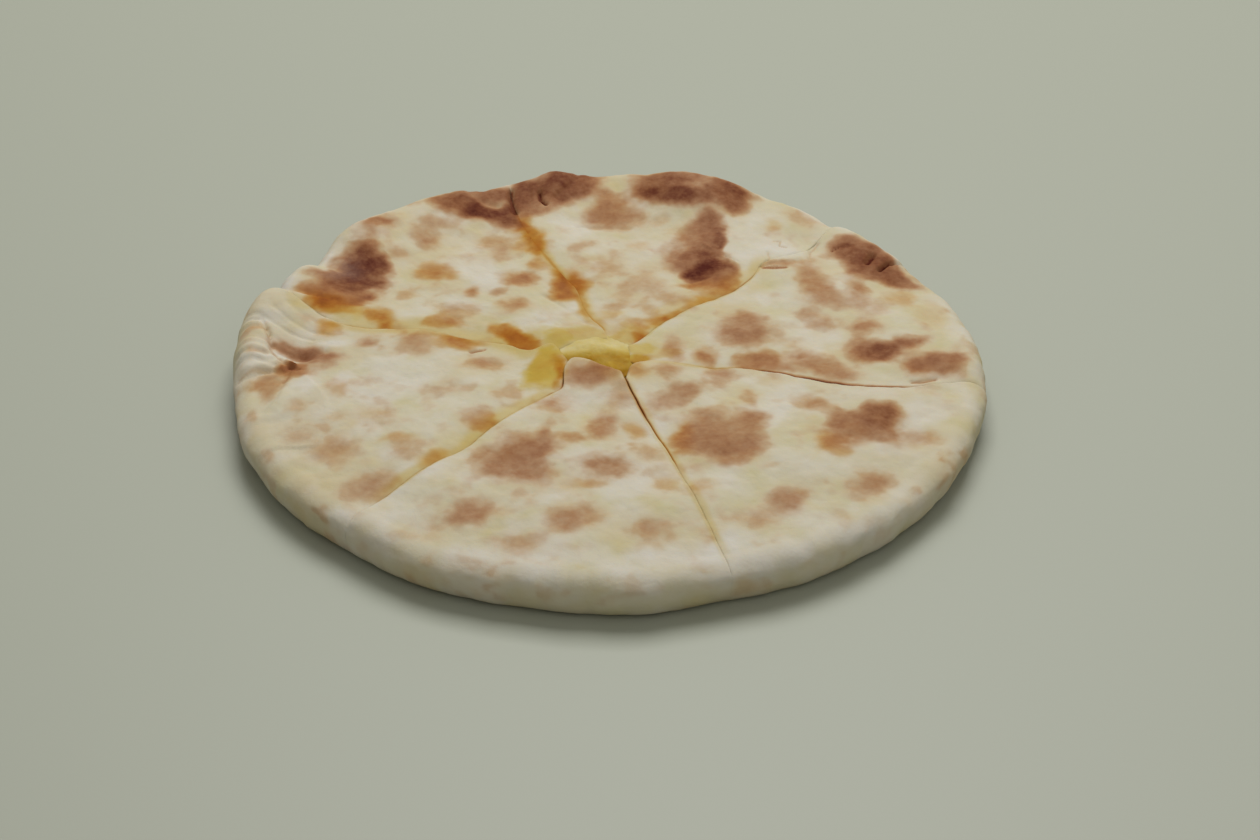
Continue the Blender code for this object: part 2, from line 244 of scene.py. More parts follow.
# Creases: points along it, its half-width, how deep it sinks, and how dark it is painted, which is browned
# crust in the fold together with painted shade down in the crevice.
CREASES = (
    (((-129, 13), (-127.5, 8), (-127, 3), (-124, -1), (-120.5, -5.5), (-116, -8.5)), 1.1, 1.3, 0.3),
    (((-125, 7), (-119, 2), (-113, 0), (-107, 3)), 2.4, 1.3, 0.3),
    (((-117, -9.5), (-118, -13), (-120, -17)), 2.6, 0.5, 0.4),
    (((-139, 24), (-132.5, 22), (-129, 14)), 1.0, 0.8, 0.0),
    (((-142, 17.5), (-135, 18), (-130, 16)), 1.3, 0.6, 0.1),
    (((-143, 9), (-136, 9.5), (-130, 7.5)), 1.0, 0.7, 0.0),
    (((-144, 0.5), (-135, 1.5), (-128.5, -1)), 1.3, 0.9, 0.1),
    (((-143, -5.5), (-133, -4), (-125, -6.5)), 1.2, 0.7, 0.05),
    (((-141, -13), (-131, -10), (-121, -9.5)), 1.5, 0.9, 0.2),
    (((-139, 29), (-130, 22), (-121, 15), (-112, 11)), 0.7, 0.5, 0.0),
    (((-128, 28), (-121, 21), (-112, 15.5), (-106, 14)), 0.7, 0.4, 0.0),
    (((-124, 31), (-117, 25), (-109, 20.5)), 0.6, 0.4, 0.0),
    (((-119, 33), (-112, 28), (-104, 24)), 0.6, 0.3, 0.0),
    (((60, 64.7), (64, 64.2), (68.5, 63.7)), 1.15, 0.45, 0.62),
    (((59, 66), (66, 68.5), (74, 70)), 0.8, 0.8, 0.3),
    (((62, 77), (62.5, 72), (61, 68)), 0.6, 0.5, 0.2),
    (((65, 86), (67.5, 87), (67, 82.5), (70, 82)), 0.6, 0.5, 0.25),
    (((78.5, 72), (79, 79), (82.5, 86)), 1.0, 0.7, 0.2),
    (((101.0, 70.5), (103.6, 75.5)), 1.5, 2.2, 1.05),
    (((105.5, 66), (109, 70.5), (114, 72)), 0.9, 2.2, 1.1),
    (((87.5, 79.5), (91, 82), (95, 82.5)), 0.6, 0.6, 0.85),
    (((-29.6, 120), (-29, 115.5), (-26.6, 112.6)), 0.9, 1.8, 1.1),
    (((-34, 124), (-33, 117), (-34, 111)), 0.9, 0.6, 0.0),
    (((-41, 122), (-41, 114), (-39, 107)), 1.2, 1.8, 0.9),
    (((-57.5, 118), (-53, 113.5), (-46, 111.5)), 1.6, 0.9, 0.1),
    (((38, 80), (44, 76), (50, 70)), 0.6, 0.5, 0.0),
    (((-28, 93), (-33, 87), (-33, 78), (-36, 72)), 0.7, 0.5, 0.1),
    (((-14, 131), (-17, 124), (-23, 117)), 1.2, 0.7, 0.0),
    (((-52, 2.5), (-47, 4.5)), 0.8, 0.7, 0.5),
    (((-10, 24), (-16, 33), (-26, 44)), 1.2, 0.5, 0.0),
    (((-14, 98.5), (-4, 98.5), (8, 97.5)), 0.9, 0.4, 0.12),
    (((36.5, 82.5), (43, 76), (49, 69)), 0.6, -0.4, 0.0),
    (((111.5, -16.5), (116, -15.6), (120.5, -13.4)), 0.9, 0.8, 0.45),
)

# Where one layer of dough lies over another: the upper layer's outline, how far it stands up, and how wide
# its rounded edge is. The sunk one is the mouth of the fold. They are worked out only left of LAYERS_RIGHT
# and within LAYERS_SPAN to the front and back, where the front one is cut short.
LAYERS = (
    (((-150, 27), (-139, 24), (-132.5, 20.5), (-129, 13), (-127.6, 6), (-124.5, 1), (-120, -2.2),
      (-116.2, -5.6), (-121, -6.5), (-126, -9), (-150, -20)), 1.5, 2.4),
    (((-117.5, -7), (-113.5, -10.5), (-109.5, -18), (-105, -26), (-101.5, -35), (-101, -50), (-106, -66),
      (-124, -84), (-140, -60), (-121, -30), (-119, -16)), 0.6, 1.6),
    (((-126, -4), (-121.5, -4.6), (-117, -5.8), (-118, -10), (-119.3, -16), (-122, -13), (-125, -9)),
     -0.4, 2.0),
)
LAYERS_RIGHT, LAYERS_SPAN = -85, 60
RIM_EDGE = 142  # reach at which the raised layers have run out, over the last 12 mm

# Pleats where the dough was gathered and pinched shut, fanned out round one place on the left of the rim
PLEAT_HUB = (-113.0, 1.0)
PLEAT_PITCH = 15.0  # degrees about the hub
PLEAT_DEPTH = 0.26


def crease_distance(x, y, points):
    """Distance from each place to a line of points."""
    nearest = np.full(np.shape(x), 1e9)
    for (ax, ay), (bx, by) in zip(points, points[1:]):
        dx, dy = bx - ax, by - ay
        t = np.clip(((x - ax) * dx + (y - ay) * dy) / (dx * dx + dy * dy), 0, 1)
        nearest = np.minimum(nearest, np.hypot(x - ax - t * dx, y - ay - t * dy))
    return nearest


def layer_step(x, y, outline, edge):
    """1 on a layer, 0 off it, with a rounded edge between."""
    inside = np.zeros(np.shape(x), bool)
    closed = outline + outline[:1]
    for (ax, ay), (bx, by) in zip(closed, closed[1:]):
        if ay != by:
            inside ^= ((ay > y) != (by > y)) & (x < (bx - ax) * (y - ay) / (by - ay) + ax)
    depth = crease_distance(x, y, closed) * np.where(inside, 1, -1)
    share = np.clip(depth / edge + 0.15, 0, 1)
    return np.sqrt(1 - (1 - share) ** 2)


def pleats(x, y):
    """Ridges and furrows of the gathered dough, from -1 to 1."""
    dx, dy = x - PLEAT_HUB[0], y - PLEAT_HUB[1]
    away = np.hypot(dx, dy)
    turn = np.degrees(np.arctan2(dy, dx)) % 360
    # from 5 to 38 mm out from the hub, and from 125 to 250 degrees round it
    window = ease((away - 5) / 7) * ease((38 - away) / 12) * ease((turn - 125) / 25) * ease((250 - turn) / 20)
    return window * np.cos(2 * np.pi * (turn + 6 * swells(x, y, 14, 5)) / PLEAT_PITCH)


def relief(x, y):
    """Height of the dough's lumps, folds and creases above its plain top."""
    # low swellings of the pressed dough, 50 to 130 mm from crest to crest
    height = 0.5 * np.sin(x / 17.0 + 0.6) * np.cos(y / 21.0 - 0.4) + 0.35 * np.sin((x + y) / 11.0 + 1.9)
    for middle_x, middle_y, rise, along, over in FOLDS:
        out = math.hypot(middle_x, middle_y)
        dx, dy = x - middle_x, y - middle_y
        outward = (dx * middle_x + dy * middle_y) / out
        sideways = (dy * middle_x - dx * middle_y) / out
        height = height + rise * np.exp(-((sideways / along) ** 2) - (outward / over) ** 2)
    for points, half_width, depth, _ in CREASES:
        height = height - depth * np.exp(-((crease_distance(x, y, points) / half_width) ** 2))
    near = (x < LAYERS_RIGHT) & (np.abs(y) < LAYERS_SPAN)
    for outline, rise, edge in LAYERS:
        step = np.zeros_like(x)
        step[near] = layer_step(x[near], y[near], outline, edge)
        fade = ease((RIM_EDGE - np.hypot(x, y)) / 12) if rise > 0 else 1.0
        height = height + rise * step * fade
    # lumps 13 mm and 3.6 mm across
    height = height + 0.46 * lumpy(x, y, 13, 3) + 0.15 * lumpy(x, y, 3.6, 11)
    return height + PLEAT_DEPTH * pleats(x, y)


# Browned spots of each slice: place, half-length, half-width, turn in degrees, how toasted, and how much
# butter and cheese coloured it amber. The top of the bread touched the pan there; the spot at (-119, -8) in
# the mouth of the fold on the left also holds painted shade.
SPOTS = {
    "back_left": (
        (-95, 65.5, 6.5, 7.5, 0, 0.88, 0.0), (-100.5, 61, 6, 7, 0, 0.78, 0.0),
        (-101, 53.5, 6.5, 4.5, 0, 0.8, 0.05), (-104, 67.5, 5, 3.5, -30, 0.5, 0.0),
        (-109, 55, 8, 4, 5, 0.56, 0.0), (-109, 49, 7, 3, 8, 0.6, 0.15), (-112, 43.5, 6, 3.5, 10, 0.56, 0.5),
        (-104, 45, 6, 3, 0, 0.7, 0.3), (-97.5, 46.5, 5, 3, 0, 0.7, 0.1), (-110.5, 37.5, 5, 4, 0, 0.66, 1.0),
        (-103, 38.5, 6, 3.8, 0, 0.55, 0.7), (-96, 40.5, 5, 3.4, 20, 0.7, 0.3),
        (-108.5, 32, 6, 3, 0, 0.42, 1.0), (-101, 32, 6, 3, -10, 0.12, 0.7),
        (-98, 53.5, 5.5, 4.5, 0, 0.95, 0.0), (-93.5, 54, 4, 4, 0, 0.6, 0.0),
        (-99, 72, 6.5, 4.5, 0, 0.68, 0.0), (-118.5, 43.5, 4, 3, 25, 0.3, 0.6), (-103, 34, 8, 3, 0, 0.14, 0.7),
        (-88.5, 64, 3, 6, 0, 0.42, 0.0), (-88, 53, 4, 6, 0, 0.25, 0.0), (-94, 88, 4, 6, 0, 0.4, 0.1),
        (-98, 80, 6, 5, 0, 0.3, 0.0), (-84, 75, 3.5, 3.5, 0, 0.25, 0.2), (-70, 97, 7, 5, 20, 0.34, 0.05),
        (-76, 90, 6, 5, 0, 0.3, 0.0), (-73, 84, 4, 3.5, 0, 0.42, 0.0), (-69.5, 60, 7.5, 4.5, -10, 0.42, 0.7),
        (-72, 66, 4, 5, 0, 0.25, 0.5), (-64, 63, 4, 6, 0, 0.2, 0.2), (-78.5, 46, 3, 3.5, 0, 0.25, 0.2),
        (-54, 47, 2.8, 3.3, 0, 0.42, 0.3), (-43, 46, 1.8, 1.7, 0, 0.38, 0.0),
        (-34.5, 56, 6.5, 5.5, 0, 0.5, 0.35), (-36.5, 36, 5.5, 4.5, 0, 0.34, 0.3),
        (-58, 33, 8.5, 5, 0, 0.28, 0.0), (-61, 25.5, 6, 3, -20, 0.42, 0.6), (-67, 25, 3, 2.5, 0, 0.25, 0.6),
        (-88, 28, 4.5, 5.5, 0, 0.44, 0.85), (-84, 20, 3.2, 5.5, 0, 0.42, 0.85),
        (-29, 68, 3.5, 3.5, 0, 0.36, 0.6), (-35, 82, 4, 5, 0, 0.3, 0.5), (-48, 86, 4, 4, 0, 0.33, 0.2),
        (-44, 80, 4, 6, 0, 0.3, 0.1), (-46, 73, 4, 4, 0, 0.2, 0.1), (-19, 60, 3.5, 6.5, 15, 0.5, 1.0),
        (-17, 52, 5, 5, 0, 0.6, 0.8), (-17, 45, 5, 4.5, 0, 0.5, 0.8), (-10, 35, 2, 6, 15, 0.25, 0.7),
        (-37, 99, 3, 5, 0, 0.62, 0.8), (-53, 107, 11, 5.5, -12, 0.84, 0.0), (-43, 104, 6, 6, 0, 0.78, 0.0),
        (-64, 113, 8, 5.5, 20, 0.62, 0.0), (-68, 111, 4, 4, 0, 0.4, 0.2), (-49, 119, 10, 6, 0, 0.66, 0.0),
        (-41, 112, 2.5, 7, 0, 0.9, 0.0), (-31, 85, 11, 3.2, -72, 0.42, 1.0),
        (-92, 93.5, 4.5, 3.2, 45, 0.62, 0.0), (-35, 12.5, 9.5, 4.6, -45, 0.48, 1.0),
        (-30, 6, 6, 3, -40, 0.46, 0.9), (-40, 20, 4, 4, 0, 0.22, 0.8),
    ),
    "back": (
        (-17, 131, 12, 7, 0, 0.72, 0.0), (-22, 122, 8, 8, 0, 0.8, 0.0), (-35, 119, 5, 11, 0, 0.74, 0.0),
        (-30, 121, 8, 7, 0, 0.6, 0.0), (-13, 124, 9, 5, 0, 0.56, 0.0), (-29, 109, 7, 3.5, 25, 0.5, 0.1),
        (0, 113, 7, 6, 0, 0.5, 0.25), (-36.5, 99, 3.5, 5, 0, 0.62, 0.8), (-31, 85, 11, 3.2, -72, 0.42, 1.0),
        (-31, 89, 4, 5, 0, 0.36, 1.0), (-3, 106, 8, 5.5, 0, 0.5, 0.1), (7, 105, 6, 5, 0, 0.42, 0.1),
        (1, 99, 10, 2.5, 0, 0.22, 0.0), (-1, 119, 3.5, 3, 0, 0.3, 0.3), (20, 103, 4, 2.5, 0, 0.18, 0.1),
        (-11.5, 82, 8, 4, 50, 0.27, 0.0), (11.5, 84.5, 4.5, 3, 0, 0.14, 0.6),
        (-1.8, 66, 7.5, 6, 0, 0.24, 0.1), (9, 50, 8, 4.5, -8, 0.25, 0.0), (14, 57, 4.5, 7, 0, 0.18, 0.1),
        (22.4, 42.5, 6, 3.5, 0, 0.28, 0.1), (17, 50, 5, 4, 0, 0.2, 0.0), (-4, 53, 4, 2.5, 0, 0.16, 0.0),
        (-6.8, 71, 5, 3, 0, 0.14, 0.2), (-13.5, 54, 4, 9, 10, 0.5, 0.95), (-0.1, 28, 4, 3, 0, 0.14, 0.5),
        (-10, 35, 2, 6, 15, 0.2, 0.7), (31, 88, 6, 8, 0, 0.44, 0.05), (25, 79, 5, 7, 0, 0.38, 0.05),
        (42, 89, 3.4, 9, -8, 0.76, 0.0), (44, 84.5, 1.8, 5, -10, 0.86, 0.0), (38.5, 99, 5, 8, 0, 0.64, 0.0),
        (36, 87, 5, 8, 0, 0.56, 0.0), (21, 119, 13, 8, -14, 0.75, 0.0), (26, 115.5, 9, 5, -12, 0.88, 0.0),
        (24, 128, 15, 6, -5, 0.64, 0.0), (48, 119, 10, 9, 0, 0.74, 0.0), (38, 116, 6, 6, 0, 0.66, 0.0),
        (49, 111, 6, 5, 0, 0.6, 0.05), (29, 71, 7.5, 8, 0, 0.52, 0.0), (38.5, 76, 6.5, 5.5, 0, 0.8, 0.0),
        (34, 66, 5.5, 5.5, 0, 0.72, 0.0), (36.5, 65, 7, 3.2, 38, 0.95, 0.0),
        (32, 61, 2.6, 2.2, 20, 1.04, 0.0), (40, 68, 3.6, 3, 30, 1.0, 0.0), (42.5, 62.5, 4, 4, 0, 0.72, 0.1),
        (47, 65, 3.5, 7, 0, 0.54, 0.15), (45, 57, 5, 4, 0, 0.46, 0.6), (38, 58, 4, 3, 0, 0.58, 0.4),
        (-38.5, 118, 4, 12, 0, 0.78, 0.0), (76, 104, 8, 4, -50, 0.22, 0.2), (65, 99, 3, 4, 0, 0.12, 0.4),
        (36, 54, 8, 3.5, 0, 0.55, 0.6), (45, 53, 5, 5, 0, 0.42, 0.7), (40, 47, 5, 4, 0, 0.3, 0.5),
        (36.5, 40, 4.5, 3, 20, 0.26, 0.9), (30, 33, 5, 3, 40, 0.1, 0.5), (21.5, 27, 5, 2.4, 15, 0.46, 0.9),
        (11.7, 11.8, 3.0, 5.5, 0, 0.52, 1.0), (17, 22, 2, 2, 45, 0.14, 0.7),
        (9.4, 23, 3.5, 2.5, 0, 0.26, 0.4), (1.7, 35.4, 5, 3, 0, 0.27, 0.1), (14.2, 32.6, 3, 3, 0, 0.22, 0.2),
    ),
    "right": (
        (50.5, 17, 10, 10, 0, 0.49, 0.0), (51, 27, 5.5, 5, 0, 0.44, 0.0), (24, 4, 3.6, 7.5, 0, 0.38, 0.1),
        (36, -1, 4, 5.5, 0, 0.48, 0.3), (57, -3.5, 8, 6, 0, 0.5, 0.3), (51, -6, 4, 3.5, 0, 0.4, 0.4),
        (74, -3, 7.5, 6, 0, 0.42, 0.2), (79, -7.5, 6, 4, -20, 0.42, 0.15),
        (84.5, -13, 7, 4.5, -10, 0.45, 0.05), (64, -9, 6, 2.5, -10, 0.28, 0.1),
        (80, 24, 7, 5.5, 0, 0.34, 0.0), (76, 31, 4.5, 4, 0, 0.34, 0.0), (78, 58, 5.5, 8, 0, 0.38, 0.2),
        (81, 48, 5.5, 9, 0, 0.44, 0.1), (83, 40, 6.5, 5.5, 0, 0.36, 0.0), (90, 38, 8, 4, 0, 0.3, 0.0),
        (97, 48, 4.5, 8, 0, 0.42, 0.1), (97, 38, 6, 5, 0, 0.3, 0.05), (112, 45, 4.5, 7, 0, 0.2, 0.4),
        (96, 20, 5.5, 4.5, 0, 0.48, 0.15), (103, 3.5, 9, 5.5, 28, 0.75, 0.05),
        (98, -2.5, 7, 4.5, 8, 0.6, 0.25), (113, 10.5, 8, 4, 28, 0.5, 0.0), (93, 8, 5, 6, 0, 0.38, 0.1),
        (92, 3, 4, 4, 0, 0.3, 0.2), (120.5, -3, 8, 6, 0, 0.66, 0.05), (114, -7, 5.5, 4.5, 0, 0.56, 0.35),
        (125, -8, 6, 5, 0, 0.42, 0.0), (128, -2, 6, 5, 0, 0.54, 0.0), (123, 33, 7, 9, 0, 0.1, 0.3),
        (93, 80, 8, 7, 0, 0.72, 0.05), (102, 71, 11, 9, -30, 0.8, 0.0), (108, 62, 9, 5, -30, 0.66, 0.0),
        (103, 82, 6, 6, 0, 0.66, 0.0), (98, 62, 6, 5, 0, 0.5, 0.1), (115, 60, 9, 3, -35, 0.42, 0.0),
        (96, 88, 5, 4, 0, 0.5, 0.0), (68, 67.5, 8, 3, 0, 0.35, 0.15), (78, 71, 4, 3, 30, 0.2, 0.1),
        (69, 8, 3.5, 4, 0, 0.18, 0.3), (10, -3.5, 5.5, 1.8, 5, 0.26, 0.3),
    ),
    "front_right": (
        (21, -13, 5.5, 5, 0, 0.33, 0.1), (10, -13, 3.5, 5, 0, 0.3, 0.5), (42, -13, 7, 4.5, 0, 0.38, 0.0),
        (40, -20, 4.5, 3.5, 0, 0.28, 0.0), (27, -26, 7, 6, 45, 0.42, 0.0), (20, -34, 6, 5, 20, 0.38, 0.0),
        (50, -30, 2.8, 5.5, 0, 0.32, 0.3), (50, -47, 6.5, 8.5, 0, 0.48, 0.05), (33, -43, 6, 5, 0, 0.36, 0.05),
        (38, -60, 13, 9, 0, 0.53, 0.0), (34, -51, 7, 6, 0, 0.46, 0.05), (49, -62, 7, 8, 0, 0.5, 0.0),
        (43, -72, 6, 4, 0, 0.36, 0.0), (26.8, -57, 4, 8.5, 0, 0.48, 1.0), (37.5, -47, 5, 5, 0, 0.34, 0.0),
        (74, -34, 5, 3.2, 0, 0.4, 0.35), (79, -39, 4, 3.5, 0, 0.25, 0.2), (99, -41, 7.5, 6, 30, 0.74, 0.0),
        (90, -46, 9, 7, 15, 0.6, 0.0), (93, -53, 7, 5, 0, 0.46, 0.0), (83, -46, 5, 5, 0, 0.3, 0.0),
        (80, -60, 5, 6.5, 0, 0.42, 0.65), (85, -57, 6, 5, 0, 0.46, 0.3), (100, -53, 6, 6, 0, 0.42, 0.0),
        (60, -19, 4, 3, 0, 0.1, 0.25), (34, -86, 5.5, 3, 0, 0.1, 0.4), (29, -77, 4, 3, 0, 0.14, 0.0),
        (62, -94, 8, 6, 30, 0.4, 0.0), (50, -104, 6, 5, 0, 0.3, 0.1), (92, -82, 9, 6, 45, 0.38, 0.0),
        (112, -52, 7, 5, 0, 0.3, 0.0),
    ),
    "front": (
        (-8, -17.5, 9, 7, -10, 0.5, 0.0), (-5, -15, 5, 4, 0, 0.55, 0.05), (4, -31, 4, 5.5, 0, 0.3, 0.0),
        (-21, -36, 5, 4.5, 0, 0.37, 0.2), (-1, -44, 4, 5, 0, 0.42, 0.0), (-4, -51, 5, 6.5, 0, 0.42, 0.0),
        (-14, -58, 4, 3.5, -10, 0.36, 0.25), (10, -51, 3, 3, 0, 0.3, 0.5), (-30, -66, 11, 9, 0, 0.54, 0.0),
        (-35, -76, 13, 8, -5, 0.48, 0.0), (-27, -80, 8, 7, 0, 0.44, 0.0), (-23, -55, 3.5, 6, 0, 0.46, 0.0),
        (-46, -69, 4, 5, 0, 0.22, 0.1), (-1, -75, 9.5, 6.5, -15, 0.44, 0.0), (-7, -85, 6, 3.2, 0, 0.27, 0.35),
        (16, -68, 5, 4.5, 0, 0.25, 0.0), (20, -86, 5, 3.5, 0, 0.14, 0.4), (-17, -46, 2.5, 2, 0, 0.15, 0.0),
        (-39, -52, 4, 3, 45, 0.15, 0.1), (-12, -106, 9, 6, 10, 0.4, 0.1), (14, -112, 7, 5, 0, 0.35, 0.0),
        (-48, -102, 9, 7, 30, 0.45, 0.0), (-30, -118, 7, 5, 0, 0.3, 0.1),
    ),
    "left": (
        (-46, -5, 6, 4.5, -10, 0.36, 0.05), (-57, 9.5, 7, 5.5, 0, 0.44, 0.75), (-72, 6, 6, 6, 0, 0.36, 0.1),
        (-73, 10, 3.5, 3, 0, 0.4, 0.3), (-90.5, 8.5, 5, 4, 0, 0.44, 0.0), (-108, 18, 3.5, 3.5, 0, 0.32, 1.0),
        (-60, -25, 7, 4, 0, 0.2, 0.0), (-58, -19, 3, 2.5, 0, 0.16, 0.0), (-38, -28, 5, 5, 0, 0.23, 0.1),
        (-100, -22, 3, 5, 0, 0.26, 0.2), (-93, -19, 2.5, 2, 0, 0.15, 0.0), (-86, -43, 5, 6, 0, 0.15, 0.0),
        (-97, -43, 3, 2.5, 0, 0.14, 0.1), (-48, -43, 5, 6, 0, 0.32, 0.0), (-44, -47, 5, 4, 45, 0.4, 0.7),
        (-76, -58, 6, 3, -10, 0.22, 0.4), (-72, -65, 6, 5, 0, 0.26, 0.05), (-61.5, -69, 5, 3, 45, 0.24, 0.7),
        (-19, -13, 2.2, 7.5, 0, 0.4, 1.0), (-25, -8, 4, 11, -8, 0.08, 0.35), (-122, 7, 5, 3, -20, 0.46, 0.0),
        (-116, 4.5, 5, 3, -20, 0.6, 0.0), (-111.5, 2, 6, 3.5, -10, 0.66, 0.0),
        (-104, -1, 5, 4.5, 0, 0.42, 0.0), (-110, -6, 8, 3.5, 0, 0.26, 0.1),
        # the first spot on this line darkens the mouth of the fold: browned crust together with painted shade
        # in the recess
        (-119, -8, 3.2, 4.5, 0, 0.66, 0.5), (-130, -19, 5, 4, 0, 0.4, 0.1), (-112, -10.5, 5, 4, 0, 0.3, 0.1),
        (-125, -19, 4.5, 9, 0, 0.36, 0.0), (-135.5, 15.5, 3.5, 2, 0, 0.34, 0.2),
        (-133, 0.5, 4.5, 1.2, 0, 0.26, 0.2), (-124, 6, 3.5, 2.5, -30, 0.5, 0.0),
        (-98, -62, 8, 6, 30, 0.3, 0.1), (-84, -84, 9, 6, 40, 0.35, 0.0), (-110, -52, 6, 5, 0, 0.2, 0.0),
    ),
}
EDGE = 4.8  # mm over which a spot fades, each way from its outline

# Edges darkened along the cuts: amber where butter and cheese ran along them, and dark lines that are painted
# shade in the narrow gaps between slices. Columns: cut, side of it (-1 is the slice of the lower bearing),
# reach from and to, width, how toasted and how amber.
SEARS_AND_GAP_SHADE = (
    ("front", -1, 8, 52, 0.8, 0.62, 0.7), ("front", 1, 10, 52, 0.7, 0.62, 0.7),
    ("front", 1, 40, 84, 0.7, 0.4, 0.8), ("right", 1, 50, 118, 1.4, 0.8, 0.4),
    ("right", 1, 66, 100, 1.9, 1.0, 0.2), ("right", 1, 14, 54, 1.2, 0.28, 0.7),
    ("front_left", -1, 20, 44, 0.9, 0.6, 0.5), ("front_left", -1, 36, 130, 0.5, 0.5, 0.3),
    ("left", -1, 26, 38, 1.6, 0.7, 0.8), ("left", -1, 36, 112, 0.8, 0.35, 0.7),
    ("back_right", 1, 58, 88, 0.7, 0.45, 0.4), ("back", 1, 60, 118, 1.3, 0.24, 0.7),
    ("back", -1, 12, 112, 1.4, 0.22, 0.7),
)


def away_from(cut, reach, bearing):
    """Distance from a cut, and on which side of it each place lies (positive towards higher bearings)."""
    return np.radians((bearing - cut_bearing(cut, reach) + 180) % 360 - 180) * reach


def sear_and_paint_gap_shade(reach, bearing, toast, amber, yellow):
    """Adds the darkened edges, amber stains and painted gap shade, to how toasted, how amber and how yellow
    the dough is.
    """
    for cut, side, start, end, width, toasted, buttered in SEARS_AND_GAP_SHADE:
        away = side * away_from(cut, reach, bearing)
        run = ease((reach - start) / 8) * ease((end - reach) / 12)
        seared_and_shaded = np.exp(-((away / width) ** 2)) * (away > -0.2) * run
        toast = np.maximum(toast, seared_and_shaded * toasted)
        amber = np.maximum(amber, seared_and_shaded * buttered)
        yellow = np.maximum(yellow, seared_and_shaded * buttered)
    return toast, amber, yellow


def in_oval(dx, dy, long, wide, turn):
    """Place in a turned oval, as shares of its half-length and its half-width."""
    c, s = math.cos(math.radians(turn)), math.sin(math.radians(turn))
    return (dx * c + dy * s) / long, (dy * c - dx * s) / wide


def browning(x, y, spots):
    """How toasted and how amber the dough is at each place, and how near it is to a spot. Spots that meet
    run together, and the darker of the two shows."""
    warp_x, warp_y = 1.7 * lumpy(x, y, 8, 43, 3), 1.7 * lumpy(x, y, 8, 47, 3)
    rough = 0.5 * lumpy(x, y, 3.5, 31, 2)
    clear, halo = np.ones_like(x), np.ones_like(x)
    weights, toasts, ambers = np.full_like(x, 1e-6), np.zeros_like(x), np.zeros_like(x)
    for middle_x, middle_y, long, wide, turn, toasted, buttered in spots:
        far = max(long, wide) + 14  # past its halo
        near = (np.abs(x - middle_x) < far) & (np.abs(y - middle_y) < far)
        if not near.any():
            continue
        dx = x[near] - middle_x + warp_x[near]
        dy = y[near] - middle_y + warp_y[near]
        size = (long + wide) / 2
        past = (np.hypot(*in_oval(dx, dy, long, wide, turn)) - 1) * size + rough[near]
        soft = EDGE * (0.72 + 0.05 * size)
        cover = ease((soft - past) / (soft + min(soft, size)))
        clear[near] *= 1 - cover
        halo[near] *= 1 - ease((10 - past) / 14) * min(1.0, toasted / 0.4)
        weight = cover * math.exp(5 * toasted)
        weights[near] += weight
        toasts[near] += weight * toasted
        ambers[near] += weight * buttered
    toast, amber = (1 - clear) * toasts / weights, ease((1 - clear) / 0.8) * ambers / weights
    toast = toast * (1 + 0.10 * lumpy(x, y, 5, 39, 2)) + 0.04 * lumpy(x, y, 2.2, 35, 2) * ease(toast / 0.2)
    mottle = 0.15 * ease(lumpy(x, y, 8, 21) / 1.1) + 0.07 * ease((lumpy(x, y, 24, 23) + 0.1) / 0.9)
    toast = np.maximum(toast, 0) + mottle * (1 - ease(toast / 0.3))
    amber = np.maximum(amber, 0.18 * ease((lumpy(x, y, 13, 29) + 0.1) / 1.0))
    # creases and slits painted darker: browned crust, and painted shade in the crevice
    for points, half_width, _, dark in CREASES:
        toast = np.maximum(toast, dark * np.exp(-((crease_distance(x, y, points) / (0.9 * half_width)) ** 2)))
    return toast, amber, (1 - halo) * (1 - ease(toast / 0.3))


# Where cheese shows yellow through the pressed dough: cut, reach from and to, how wide a band on the slice
# of the lower and of the higher bearing, and how strong.
YELLOW_BANDS = (
    ("front_left", 24, 130, 6.6, 1.0, 0.64),
    ("front", 14, 142, 1.5, 2.6, 0.42),
    ("right", 8, 52, 3.0, 3.0, 0.45),
    ("back_right", 8, 104, 1.5, 6.0, 0.5),
    ("back", 12, 120, 4.5, 3.5, 0.55),
    ("left", 16, 118, 10.0, 6.0, 0.55),
)


# Cheese smeared over the dough round the middle: place, half-length, half-width, turn, how strong.
CHEESE_SMEARS = (
    (-23, -7, 16, 7, 80, 1.0), (-20, 10, 7, 6, 60, 0.85), (-9, 13, 12, 6, -20, 0.68),
    (-36, 12, 12, 6, -15, 0.7), (5, 12, 10, 6, 60, 0.75), (11, 3, 7, 5, 0, 0.8), (18, 1, 9, 4, 0, 0.5),
    (10, -3, 6, 3.6, 0, 1.0), (10, -9, 5, 5, 0, 0.3), (-52, 26, 12, 6, -15, 0.35),
    (-104, 33, 13, 6, -25, 0.6), (-118, 33, 6, 4, -40, 0.4), (24, 34, 10, 4, 45, 0.4),
    (48, 56, 10, 5, 45, 0.4),
)


# Flour left on the dough: place, half-length, half-width, turn, how thick.
FLOUR = (
    (-108, 68, 12, 6, 125, 0.7), (-108, 57, 8, 5, 10, 0.5), (-105, 8, 9, 2.8, 0, 0.8),
    (-98, -17, 7, 4, 60, 0.7), (-112, -20, 11, 5, 75, 0.5), (-122, 1.5, 6, 2, -38, 1.0),
    (-134, 22, 6, 2, -15, 0.5), (-133, 3.5, 6, 1.5, 0, 0.6), (-133, -4, 6, 1.5, 0, 0.5),
    (-127, 50, 8, 5, -60, 0.8), (-17, 98, 10, 7, 0, 0.7), (-58, 78, 9, 6, 20, 0.5), (62, 84, 10, 9, 0, 0.5),
    (54, 92, 8, 8, 0, 0.4), (60, 40, 12, 6, 0, 0.5), (-8, -30, 12, 5, 0, 0.5), (14, -34, 8, 6, 0, 0.4),
    (62, -30, 8, 10, 0, 0.5), (-60, -36, 12, 8, 20, 0.4), (-80, -8, 14, 5, 0, 0.5),
    (104, -24, 14, 6, 15, 0.5), (-22, 22, 8, 3, -55, 0.5),
)


